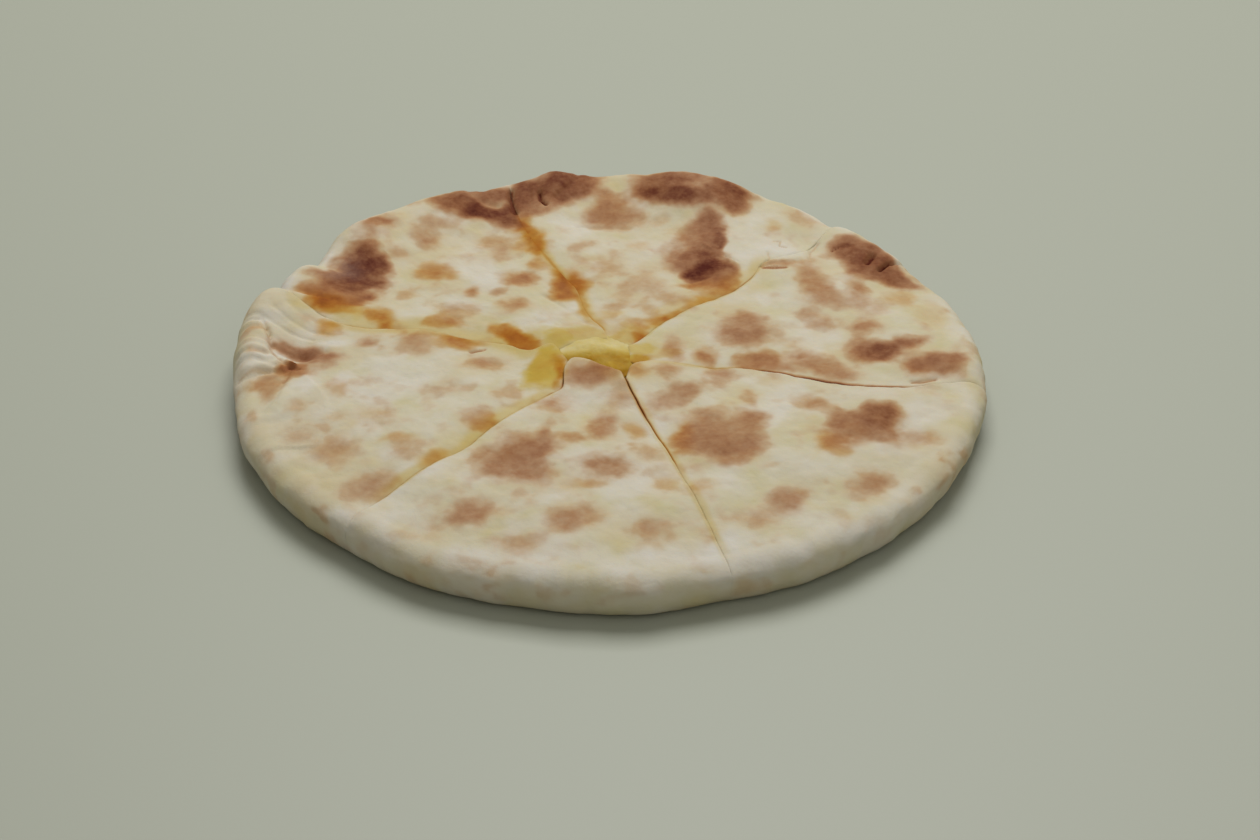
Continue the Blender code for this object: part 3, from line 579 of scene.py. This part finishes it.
def flouring(x, y, toast):
    """How thickly flour lies at each place. Where the dough is brown, only a little of the patches shows."""
    brown = ease(toast / 0.5)
    flour = 0.45 * ease((lumpy(x, y, 17, 63, 3) - 0.05) / 0.8) * (1 - brown)
    streaks = 0.5 * lumpy(x, y, 4, 65, 3)
    for middle_x, middle_y, long, wide, turn, thick in FLOUR:
        along, over = in_oval(x - middle_x, y - middle_y, long, wide, turn)
        patch = np.exp(-(along**2) - over**2)
        flour = np.maximum(flour, thick * np.clip(patch + streaks * patch, 0, 1) * (1 - 0.82 * brown))
    return flour


def yellowing(reach, bearing, x, y):
    """How much yellow cheese shows through at each place."""
    yellow = 0.35 * ease((26 - reach + 5 * lumpy(x, y, 9, 51)) / 14)
    yellow = yellow + 0.12 * ease((lumpy(x, y, 26, 53) + 0.1) / 0.8)
    for middle_x, middle_y, long, wide, turn, strength in CHEESE_SMEARS:
        along, over = in_oval(x - middle_x, y - middle_y, long, wide, turn)
        warm = np.exp(-0.69 * (along**2 + over**2))  # half at the oval's edge
        yellow = np.maximum(yellow, strength * ease((warm - 0.45 + 0.2 * lumpy(x, y, 5, 55)) / 0.6 + 0.5))
    for cut, start, end, below, above, strength in YELLOW_BANDS:
        away = away_from(cut, reach, bearing)
        span = ease((reach - start) / 14) * ease((end - reach) / 20)
        width = np.where(away < 0, below, above) * (1 + 0.35 * lumpy(x, y, 12, 57))
        band = strength * span * ease((1.25 - np.abs(away) / np.maximum(width, 0.5)) / 0.9)
        yellow = np.maximum(yellow, band)
    return yellow


# Rows of points across a slice from cut to cut, and the points of one row along the top, round the rim,
# along the base (under it and again inside) and along the ceiling of the pocket
SECTIONS = 190
ROOF_POINTS, NOSE_POINTS, BASE_POINTS, CEILING_POINTS = 180, 24, 37, 37

INNERMOST, OUTERMOST = 2.0, 150.0  # reaches between which a slice's rows are worked out
TIP_AT, RIM_AT = 12.0, 139.0  # reaches at which rows are shared out along the tip and along the rim
LIP_RUN = 9.0  # how far in from its cut a raised lip slopes down, and how far in from the rim it ends
SAG, SAG_RUN = 0.4, 6.0  # how deep and how far in the top sags along a cut
TIP_DROP, TIP_ROUND = 1.1, 2.2  # how deep and how far in the edge of a tip is rounded
UPPER_SHARE = 0.55  # share of the rim's points that lie above its girth
NOSE_RUN = 32.0  # way round the rim from shoulder to base
FOOT_INSET = 4.0  # how far in from the rim's lower round the flat base has its first points
CUT_SHEET, CUT_RUN = 1.0, 6.0  # how thin the top sheet is at a cut, and how far in it has its full thickness


def dough_points(cuts, tips, raised):
    """Points of one slice, as (section, place round the loop, xyz), with the unrolled reach of each."""
    _, along, _ = across(cuts, SECTIONS, np.array([TIP_AT]))
    tip = smooth_curve(tips, along[:, 0] / along[-1, 0])[:, None]
    at_rim, _, _ = across(cuts, SECTIONS, np.array([RIM_AT]))
    shoulder = rim_reach(at_rim) - SHOULDER
    runs = []

    def locate(reach):
        """Bearing and distance from each cut, for a reach that differs from section to section."""
        steps = np.linspace(INNERMOST, OUTERMOST, 400)
        tables = across(cuts, SECTIONS, steps)
        return [np.array([np.interp(reach[k], steps, table[k]) for k in range(SECTIONS)]) for table in tables]

    def top_height(reach, spread):
        """Bearing and height of the top, with its lips along the cuts and the round of its tip."""
        bearing, low, high = locate(reach)
        to_rim = ease(1 - (rim_reach(bearing) - SHOULDER - reach) / LIFT_RUN)
        height = TOP + to_rim * rim_lift(bearing) + relief(*flat_xy(spread, bearing))
        height = height + raised * (1 - ease((reach - tip) / RAISED_RUN))
        for away, cut, side in ((low, cuts[0], 1), (high, cuts[1], 0)):
            lip_width, lip_depth, lip_raise = CUTS[cut]["lips"][side]
            vary = 1 + 0.4 * swells(reach, 0 * reach, 13, 61 + side)
            height = height + lip_raise * np.exp(-((away / LIP_RUN) ** 2)) * ease((RIM_AT - reach) / LIP_RUN)
            inside = np.clip(away / (lip_width * vary), 0, 1)
            rolled = lip_depth * (1 - np.sqrt(1 - (1 - inside) ** 2))
            height = height - rolled - SAG * np.exp(-((away / SAG_RUN) ** 2))
        edge = np.clip((reach - tip) / TIP_ROUND, 0, 1)
        height = height - TIP_DROP * (1 - np.sqrt(1 - (1 - edge) ** 2))
        return bearing, height

    t = np.linspace(0, 1, ROOF_POINTS)[None, :]
    reach = tip + (shoulder - tip) * t
    bearing, height = top_height(reach, reach)
    runs.append((reach, bearing, height, reach))
    crown_bearing, crown_height = bearing[:, -1:], height[:, -1:]

    turn = np.linspace(0, 1, NOSE_POINTS + 1)[None, 1:]
    above = turn <= UPPER_SHARE
    upper = np.clip(turn / UPPER_SHARE, 0, 1) * np.pi / 2
    lower = np.clip((turn - UPPER_SHARE) / (1 - UPPER_SHARE), 0, 1) * np.pi / 2
    rim = shoulder + SHOULDER
    out = np.where(above, shoulder + SHOULDER * np.sin(upper), rim - TOE + TOE * np.cos(lower))
    high = np.where(above, GIRTH + (crown_height - GIRTH) * np.cos(upper), GIRTH * (1 - np.sin(lower)))
    spread = shoulder + NOSE_RUN * turn
    bearing = np.repeat(crown_bearing, NOSE_POINTS, axis=1)
    x, y = flat_xy(spread, bearing)
    swell = 0.5 * lumpy(x, y, 12, 3) + 0.8 * PLEAT_DEPTH * pleats(x, y)
    for points, half_width, depth, _ in CREASES:
        swell = swell - 0.7 * depth * np.exp(-((crease_distance(x, y, points) / half_width) ** 2))
    swell = swell * ease(turn / 0.12) * ease((1 - turn) / 0.25)
    runs.append((out + swell * np.sin(upper), bearing, high, spread))

    t = np.linspace(1, 0, BASE_POINTS)[None, :]
    reach = INNERMOST + (rim - TOE - FOOT_INSET - INNERMOST) * t
    runs.append((reach, locate(reach)[0], 0 * reach, reach))
    reach = reach[:, ::-1]
    reach = INNERMOST + (CAVITY_REACH - INNERMOST) * (reach - INNERMOST) / (reach[:, -1:] - INNERMOST)
    runs.append((reach, locate(reach)[0], BASE_SHEET + 0 * reach, reach))

    t = np.linspace(1, 0, CEILING_POINTS)[None, :]
    reach = tip + (CAVITY_REACH - tip) * t
    bearing, height = top_height(reach, reach)
    _, low, high = locate(reach)
    sheet = CUT_SHEET + (SHEET - CUT_SHEET) * ease(np.minimum(low, high) / CUT_RUN)
    runs.append((reach, bearing, height - sheet, reach))
    return [np.concatenate([np.broadcast_to(run[k], run[0].shape) for run in runs], axis=1) for k in range(4)]


def closing_faces(roof, ceiling, base, floor, nose):
    """Faces of one cut wall: the top sheet, the rim and the base sheet, as rows of point numbers."""
    faces = []
    for upper, lower in ((roof, ceiling), (floor, base)):
        j = 0
        for i in range(len(upper) - 1):
            goal = round((i + 1) * (len(lower) - 1) / (len(upper) - 1))
            faces.append((upper[i], upper[i + 1], lower[j]))
            while j < goal:
                faces.append((upper[i + 1], lower[j + 1], lower[j]))
                j += 1
    faces.append((roof[-1], *nose, base[-1], floor[-1], ceiling[-1]))
    return faces


def linear(hex_colour):
    """An sRGB hex colour as linear RGBA."""
    parts = [int(hex_colour[i : i + 2], 16) / 255 for i in (1, 3, 5)]
    return (*[c / 12.92 if c <= 0.04045 else ((c + 0.055) / 1.055) ** 2.4 for c in parts], 1.0)


def add(tree, kind, settings=None, **links):
    """Adds a node, sets its properties and inputs, and links its inputs to other nodes' outputs. Inputs go
    by name or number (_6 is input 6), and "stops" are the places and hex colours along a colour ramp."""
    node = tree.nodes.new(kind)
    for name, value in (settings or {}).items():
        if name == "stops":
            elements = node.color_ramp.elements
            while len(elements) < len(value):
                elements.new(0.5)
            for element, (place, colour) in zip(elements, value):
                element.position = place
                element.color = linear(colour)
        elif isinstance(name, int) or name in node.inputs:
            node.inputs[name].default_value = value
        else:
            setattr(node, name, value)
    for name, output in links.items():
        key = int(name[1:]) if name[0] == "_" and name[1:].isdigit() else name.replace("_", " ")
        tree.links.new(output, node.inputs[key])
    return node


def baked_wheat_dough():
    """Soft white-flour dough baked on a dry pan: pale cream, matte to faintly satin, pink-brown to dark
    brown where it touched the metal, amber where butter and cheese ran. Light goes a little way in."""
    made = bpy.data.materials.new("baked_wheat_dough")
    made.use_nodes = True
    tree = made.node_tree
    shader = tree.nodes["Principled BSDF"]
    place = add(tree, "ShaderNodeTexCoord").outputs["Object"]
    toast = add(tree, "ShaderNodeAttribute", {"attribute_name": "toast"}).outputs["Fac"]
    amber = add(tree, "ShaderNodeAttribute", {"attribute_name": "amber"}).outputs["Fac"]
    yellow = add(tree, "ShaderNodeAttribute", {"attribute_name": "yellow"}).outputs["Fac"]
    flour = add(tree, "ShaderNodeAttribute", {"attribute_name": "flour"}).outputs["Fac"]

    # crumb-sized mottle, 13 crumbs to 20 mm, and broad patches, 9 to 200 mm
    crumb = {"Scale": 13 / (20 * MM), "Detail": 4.0}
    patches = {"Scale": 9 / (200 * MM), "Detail": 3.0}
    fine = add(tree, "ShaderNodeTexNoise", crumb, Vector=place).outputs["Fac"]
    broad = add(tree, "ShaderNodeTexNoise", patches, Vector=place).outputs["Fac"]
    centred = {"operation": "MULTIPLY_ADD", 1: 0.34, 2: -0.17}
    speckle = add(tree, "ShaderNodeMath", centred, _0=fine).outputs[0]
    uneven = add(tree, "ShaderNodeMath", {"operation": "MULTIPLY"}, _0=speckle, _1=toast).outputs[0]
    toasted = add(tree, "ShaderNodeMath", {"operation": "ADD"}, _0=toast, _1=uneven).outputs[0]

    # pale dough, then dough browned by the pan, then the amber of butter, the yellow of cheese, and flour
    pale = ((0.32, "#c4ba94"), (0.45, "#c9c0a4"), (0.56, "#ccc4af"), (0.7, "#cfc8b8"))
    brown = (
        (0.0, "#ccc3ac"), (0.12, "#c6b599"), (0.27, "#b99d7c"), (0.42, "#ab8563"),
        (0.56, "#9c7050"), (0.72, "#845539"), (0.86, "#6b3a26"), (1.0, "#521f12"),
    )
    fried = ((0.0, "#c8ae68"), (0.25, "#bb9048"), (0.45, "#aa6d2c"), (0.65, "#8f5229"), (1.0, "#552a1b"))
    plain = add(tree, "ShaderNodeValToRGB", {"stops": pale}, Fac=broad).outputs["Color"]
    crust = add(tree, "ShaderNodeValToRGB", {"stops": brown}, Fac=toasted).outputs["Color"]
    gold = add(tree, "ShaderNodeValToRGB", {"stops": fried}, Fac=toasted).outputs["Color"]
    cover = add(tree, "ShaderNodeMapRange", {"From Max": 0.2}, Value=toasted).outputs[0]
    mix = {"data_type": "RGBA"}
    body = add(tree, "ShaderNodeMix", mix, Factor=cover, _6=plain, _7=crust).outputs[2]
    buttered = add(tree, "ShaderNodeMix", mix, Factor=amber, _6=body, _7=gold).outputs[2]
    cheesy = {**mix, "blend_type": "MULTIPLY", 7: linear("#efd877")}
    tinted = add(tree, "ShaderNodeMix", cheesy, Factor=yellow, _6=buttered).outputs[2]
    floury = {**mix, 7: linear("#d4cec4")}
    dusted = add(tree, "ShaderNodeMix", floury, Factor=flour, _6=tinted).outputs[2]
    tree.links.new(dusted, shader.inputs["Base Color"])

    # the skin is a little glossier between the crumbs; pores, 7 to 5 mm, are drawn coarse enough to show
    gloss = add(tree, "ShaderNodeMapRange", {"To Min": 0.56, "To Max": 0.74}, Value=fine).outputs[0]
    tree.links.new(gloss, shader.inputs["Roughness"])
    pitted = {"Scale": 7 / (5 * MM), "Detail": 2.0}
    pores = add(tree, "ShaderNodeTexNoise", pitted, Vector=place).outputs["Fac"]
    coarse = add(tree, "ShaderNodeBump", {"Strength": 0.35, "Distance": 0.4 * MM}, Height=fine)
    shallow = {"Strength": 0.25, "Distance": 0.2 * MM}
    skin = add(tree, "ShaderNodeBump", shallow, Height=pores, Normal=coarse.outputs[0])
    tree.links.new(skin.outputs[0], shader.inputs["Normal"])
    shader.inputs["Specular IOR Level"].default_value = 0.05
    shader.inputs["Subsurface Weight"].default_value = 0.08
    shader.inputs["Subsurface Radius"].default_value = (1.0, 0.55, 0.25)
    shader.inputs["Subsurface Scale"].default_value = 3 * MM
    return made


def place_points(reach, bearing, height):
    """Points in metres, kept inside the solids' own box."""
    x, y = flat_xy(reach, bearing)
    points = np.stack([MM * (MIDDLE[0] + x), MM * (MIDDLE[1] + y), MM * height], axis=-1)
    return np.clip(points, np.array(cad_low), np.array(cad_high))


def make_piece(name, points, faces, fields, material):
    """A smooth-shaded mesh with its float attributes, linked to the scene."""
    mesh = bpy.data.meshes.new(name)
    mesh.from_pydata(points.tolist(), [], faces)
    mesh.validate()
    for field, values in fields.items():
        mesh.attributes.new(field, "FLOAT", "POINT").data.foreach_set("value", values.astype(np.float32))
    mesh.shade_smooth()
    mesh.set_sharp_from_angle(angle=math.radians(60))
    mesh.materials.append(material)
    piece = bpy.data.objects.new(name, mesh)
    bpy.context.scene.collection.objects.link(piece)
    return piece


def swept_faces(sections, loop):
    """Four-sided faces between neighbouring sections of a closed loop, as point numbers."""
    k = np.arange(sections - 1)[:, None] * loop
    i = np.arange(loop)[None, :]
    j = (i + 1) % loop
    quads = np.stack([k + i, k + loop + i, k + loop + j, k + j], axis=-1)
    return quads.reshape(-1, 4).tolist()


dough = baked_wheat_dough()
for slice_name, (cuts, tips, raised) in SLICES.items():
    reach, bearing, height, spread = dough_points(cuts, tips, raised)
    points = place_points(reach, bearing, height).reshape(-1, 3)
    loop = reach.shape[1]
    ends = np.cumsum([0, ROOF_POINTS, NOSE_POINTS, BASE_POINTS, BASE_POINTS, CEILING_POINTS])
    roof, nose, base, floor, ceiling = [list(range(ends[n], ends[n + 1])) for n in range(5)]
    wall = closing_faces(roof, ceiling[::-1], base[::-1], floor, nose)
    faces = swept_faces(SECTIONS, loop)
    faces += wall + [[n + (SECTIONS - 1) * loop for n in face[::-1]] for face in wall]
    x, y = flat_xy(spread, bearing)
    toast, amber, halo = browning(x, y, SPOTS[slice_name])
    yellow = np.maximum(yellowing(spread, bearing, x, y), 0.22 * halo)
    # the cut edges: amber stains, and painted shade along the gaps between slices
    toast, amber, yellow = sear_and_paint_gap_shade(spread, bearing, toast, amber, yellow)
    flour = flouring(x, y, toast) * (1 - 0.85 * ease(yellow / 0.5))
    looks = {"toast": toast, "amber": amber, "yellow": yellow, "flour": flour}
    fields = {name: values.ravel() for name, values in looks.items()}
    crust = make_piece("crust_" + slice_name, points, faces, fields, dough)
    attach(crust, "root")
    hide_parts("dough_" + slice_name)

# ======================================================================================================
# CHEESE FILLING. Young white cheese, crumbled and mixed with butter and egg, which has melted into one soft
# layer. It runs through every slice, shows at the tips and cuts, and holds the two sheets of dough together.
# ======================================================================================================
CHEESE_SECTIONS = 61  # rows of points across a wedge of filling, picked from those of the dough
CHEESE_GAP = 0.3  # kept clear between filling and dough


def melted_curd_cheese():
    """Melted curd cheese: deep cream to butter yellow, moist and soft-skinned, with light in its body."""
    made = bpy.data.materials.new("melted_curd_cheese")
    made.use_nodes = True
    tree = made.node_tree
    shader = tree.nodes["Principled BSDF"]
    place = add(tree, "ShaderNodeTexCoord").outputs["Object"]
    # soft lumps, 7 to 50 mm, with a skin of 13 wrinkles to 20 mm; the fat that ran out of it is golden, and
    # the same value carries painted shade, which takes the colour towards the ramp's dark brown end
    lumps = {"Scale": 7 / (50 * MM), "Detail": 3.0}
    wrinkles = {"Scale": 13 / (20 * MM), "Detail": 2.0}
    curds = add(tree, "ShaderNodeTexNoise", lumps, Vector=place).outputs["Fac"]
    strings = add(tree, "ShaderNodeTexNoise", wrinkles, Vector=place).outputs["Fac"]
    golden = add(tree, "ShaderNodeAttribute", {"attribute_name": "golden"}).outputs["Fac"]
    spread = add(tree, "ShaderNodeMath", {"operation": "MULTIPLY_ADD", 1: 0.7, 2: -0.35}, _0=curds).outputs[0]
    gold_and_shade_level = add(tree, "ShaderNodeMath", {"operation": "ADD"}, _0=golden, _1=spread).outputs[0]
    creamy = ((0.0, "#cfc08c"), (0.25, "#c6b068"), (0.5, "#b99a40"), (0.75, "#a67a14"), (1.0, "#7c5206"))
    colour = add(tree, "ShaderNodeValToRGB", {"stops": creamy}, Fac=gold_and_shade_level).outputs["Color"]
    tree.links.new(colour, shader.inputs["Base Color"])
    wet = add(tree, "ShaderNodeMapRange", {"To Min": 0.42, "To Max": 0.6}, Value=strings).outputs[0]
    tree.links.new(wet, shader.inputs["Roughness"])
    skin = add(tree, "ShaderNodeBump", {"Strength": 0.3, "Distance": 0.3 * MM}, Height=strings)
    tree.links.new(skin.outputs[0], shader.inputs["Normal"])
    shader.inputs["Specular IOR Level"].default_value = 0.06
    shader.inputs["Subsurface Weight"].default_value = 0.15
    shader.inputs["Subsurface Radius"].default_value = (1.0, 0.7, 0.25)
    shader.inputs["Subsurface Scale"].default_value = 3 * MM
    return made


def cheese_points(cuts, tips, raised):
    """Points of one wedge of filling, kept just clear of the dough round it."""
    dough_reach, dough_bearing, dough_height, _ = dough_points(cuts, tips, raised)
    pick = np.linspace(0, SECTIONS - 1, CHEESE_SECTIONS).round().astype(int)
    first = ROOF_POINTS + NOSE_POINTS + 2 * BASE_POINTS
    ceiling_reach = dough_reach[pick, first:][:, ::-1]
    ceiling_bearing = dough_bearing[pick, first:][:, ::-1]
    ceiling_height = dough_height[pick, first:][:, ::-1] - CHEESE_GAP
    # its inner end wanders 0.8 mm, in lumps 3 mm across, and its outer end bulges 1.5 mm
    ooze = 0.8 * lumpy(*flat_xy(ceiling_reach[:, :1], ceiling_bearing[:, :1]), 3.0, 71)
    ceiling_reach = ceiling_reach + ooze * ease((ceiling_reach[:, :1] + 6 - ceiling_reach) / 6)
    end = np.linspace(0.8, 0.2, 3)[None, :]
    back_height = BASE_SHEET + CHEESE_GAP + end * (ceiling_height[:, -1:] - BASE_SHEET - CHEESE_GAP)
    back_reach = ceiling_reach[:, -1:] + 1.5 + 0 * back_height
    floor_reach = ceiling_reach[:, ::-1]
    floor_height = BASE_SHEET + CHEESE_GAP + 0 * floor_reach
    reach = np.concatenate([ceiling_reach, back_reach, floor_reach], axis=1)
    back_bearing = ceiling_bearing[:, -1:] + 0 * end
    bearing = np.concatenate([ceiling_bearing, back_bearing, ceiling_bearing[:, ::-1]], axis=1)
    height = np.concatenate([ceiling_height, back_height, floor_height], axis=1)
    return reach, bearing, height


cheese = melted_curd_cheese()
for slice_name, (cuts, tips, raised) in SLICES.items():
    reach, bearing, height = cheese_points(cuts, tips, raised)
    loop = reach.shape[1]
    points = place_points(reach, bearing, height).reshape(-1, 3)
    half = CEILING_POINTS
    wall = [(i, i + 1, loop - 2 - i, loop - 1 - i) for i in range(half - 1)]
    wall.append(tuple(range(half - 1, half + 4)))
    faces = [face[::-1] for face in swept_faces(CHEESE_SECTIONS, loop)]
    last = (CHEESE_SECTIONS - 1) * loop
    faces += [face[::-1] for face in wall] + [tuple(n + last for n in face) for face in wall]
    fields = {"golden": np.full(len(points), 0.8)}
    filling = make_piece("filling_" + slice_name, points, faces, fields, cheese)
    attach(filling, "root")
    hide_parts("cheese_" + slice_name)

# ======================================================================================================
# POOL OF CHEESE. Filling that ran out where the cuts cross and set between the tips, of the same melted
# curd cheese. It is a lumpy mound made of rings of points, steep at the front and gently sloped at the back.
# ======================================================================================================
POOL_HUB = (-5.0, 1.0)  # its own middle
# Its edge: bearing about its own middle, reach and height
POOL_EDGE = (
    (0, 14.0, 19.8), (18, 13.4, 19.9), (42, 13.0, 20.0), (71, 13.0, 20.0), (106, 13.4, 20.2),
    (135, 14.6, 20.2), (156, 14.6, 19.8), (174, 13.6, 19.2), (194, 12.4, 18.4), (211, 10.0, 17.6),
    (228, 8.2, 17.4), (250, 7.4, 17.2), (270, 8.2, 16.8), (284, 10.2, 16.6), (293, 13.0, 16.8),
    (300, 17.2, 17.0), (309, 17.0, 17.6), (318, 17.0, 18.2), (327, 17.6, 18.9), (337, 17.8, 19.4),
    (346, 16.0, 19.6), (353, 14.6, 19.7),
)
bearings = np.arange(0, 360, 2.0)
shares = np.concatenate([[0.012], np.linspace(0.05, 1.0, 44)])  # of the way out to its edge, ring by ring
edge = smooth_curve([row[:2] for row in POOL_EDGE], bearings, 360)[:, None]
edge_height = smooth_curve([(row[0], row[2]) for row in POOL_EDGE], bearings, 360)[:, None]
reach = edge * shares[None, :]
turn = bearings[:, None] + 0 * reach
x, y = flat_xy(reach, turn)
# a low ridge from left to right that falls to the front, and a lump 13 mm to the right
crest = 20.8 + 0.6 * np.exp(-(((y - 4.0 - 0.1 * x) / 4.0) ** 2)) - 0.008 * x * x - 1.1 * ease((1 - y) / 9)
crest = crest + 1.1 * np.exp(-(((x - 13) / 4) ** 2) - ((y + 5.5) / 3.5) ** 2)
steep = np.sqrt(np.clip(1 - shares[None, :] ** 5, 0, 1))
flowing = 1 - shares[None, :] ** 2
soft = steep + (flowing - steep) * ease((np.sin(np.radians(turn)) + 0.4) / 0.8)
height = edge_height + (crest - edge_height) * soft
height = height + (0.75 * lumpy(x, y, 7, 81, 2) + 0.22 * lumpy(x, y, 2.6, 83)) * soft
# two more rings close it below
low_reach = edge[:, 0] * 0.98
reach = np.concatenate([reach, low_reach[:, None], 0.03 * low_reach[:, None]], axis=1)
turn = bearings[:, None] + 0 * reach
height = np.concatenate([height, np.full((len(bearings), 2), BASE_SHEET + CHEESE_GAP)], axis=1)
points = place_points(reach, turn, height) + MM * np.array([*POOL_HUB, 0.0])
points = points.reshape(-1, 3)
ring = reach.shape[1]
k = np.arange(len(bearings))[:, None]
i = np.arange(ring - 1)[None, :]
after = (k + 1) % len(bearings)
quads = np.stack([k * ring + i, k * ring + i + 1, after * ring + i + 1, after * ring + i], axis=-1)
faces = quads.reshape(-1, 4).tolist()
faces.append(tuple(n * ring for n in range(len(bearings))))
faces.append(tuple(n * ring + ring - 1 for n in reversed(range(len(bearings)))))
# golden: the fat's own colour where it ran together, towards the front; painted shade darkens it further on
# the slope that faces the front, and most in the low hollow at its foot behind the front tip
painted_shade_in_hollow = ease((19.6 - height[:, :-2]) / 1.8) * ease((1 - y) / 5) * ease((x + 7) / 5) * (1 - ease((x - 8) / 4))
golden = 0.12 + 0.55 * ease((4 - y) / 8) + 0.4 * painted_shade_in_hollow
golden = np.concatenate([golden, np.full((len(bearings), 2), 0.9)], axis=1)
pool = make_piece("pool_of_cheese", points, faces, {"golden": golden.ravel()}, cheese)
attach(pool, "root")
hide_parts("melted_cheese")

# ======================================================================================================
# FLOOR, LIGHT AND CAMERA. A plain pale table that the bread lies on, under soft daylight from above and
# behind, with a weak light from the room in front.
# ======================================================================================================
table = bpy.data.materials.new("plain_pale_table")
table.use_nodes = True
table.node_tree.nodes["Principled BSDF"].inputs["Base Color"].default_value = linear("#a8ab9b")
table.node_tree.nodes["Principled BSDF"].inputs["Roughness"].default_value = 0.5
bpy.ops.mesh.primitive_plane_add(size=8.0, location=(0, 0, 0))
floor = bpy.context.object
floor.name = "floor"
floor.data.materials.append(table)


def soft_light(name, place, size, power):
    """A square area light that faces the bread."""
    lamp = bpy.data.lights.new(name, "AREA")
    lamp.size = size
    lamp.energy = power
    light = bpy.data.objects.new(name, lamp)
    light.location = place
    away = -np.array(place)
    light.rotation_euler = (
        math.acos(-away[2] / np.linalg.norm(away)), 0.0, math.atan2(away[1], away[0]) - math.pi / 2,
    )
    bpy.context.scene.collection.objects.link(light)


soft_light("window_above", (0.1, 0.8, 1.45), 1.0, 20.4)
soft_light("room_fill", (0.5, -1.0, 1.2), 1.5, 3.0)

world = bpy.data.worlds.new("soft_room")
world.use_nodes = True
world.node_tree.nodes["Background"].inputs["Color"].default_value = linear("#e6e6e0")
world.node_tree.nodes["Background"].inputs["Strength"].default_value = 0.35
bpy.context.scene.world = world
bpy.context.scene.view_settings.view_transform = "Standard"

lens = bpy.data.cameras.new("camera")
lens.lens = 80.0
lens.sensor_width = 36.0
camera = bpy.data.objects.new("camera", lens)
camera.location = (0.0084, -0.8918, 0.5649)
camera.rotation_euler = (math.radians(90 - 32.75), 0.0, 0.0)
bpy.context.scene.collection.objects.link(camera)
bpy.context.scene.camera = camera
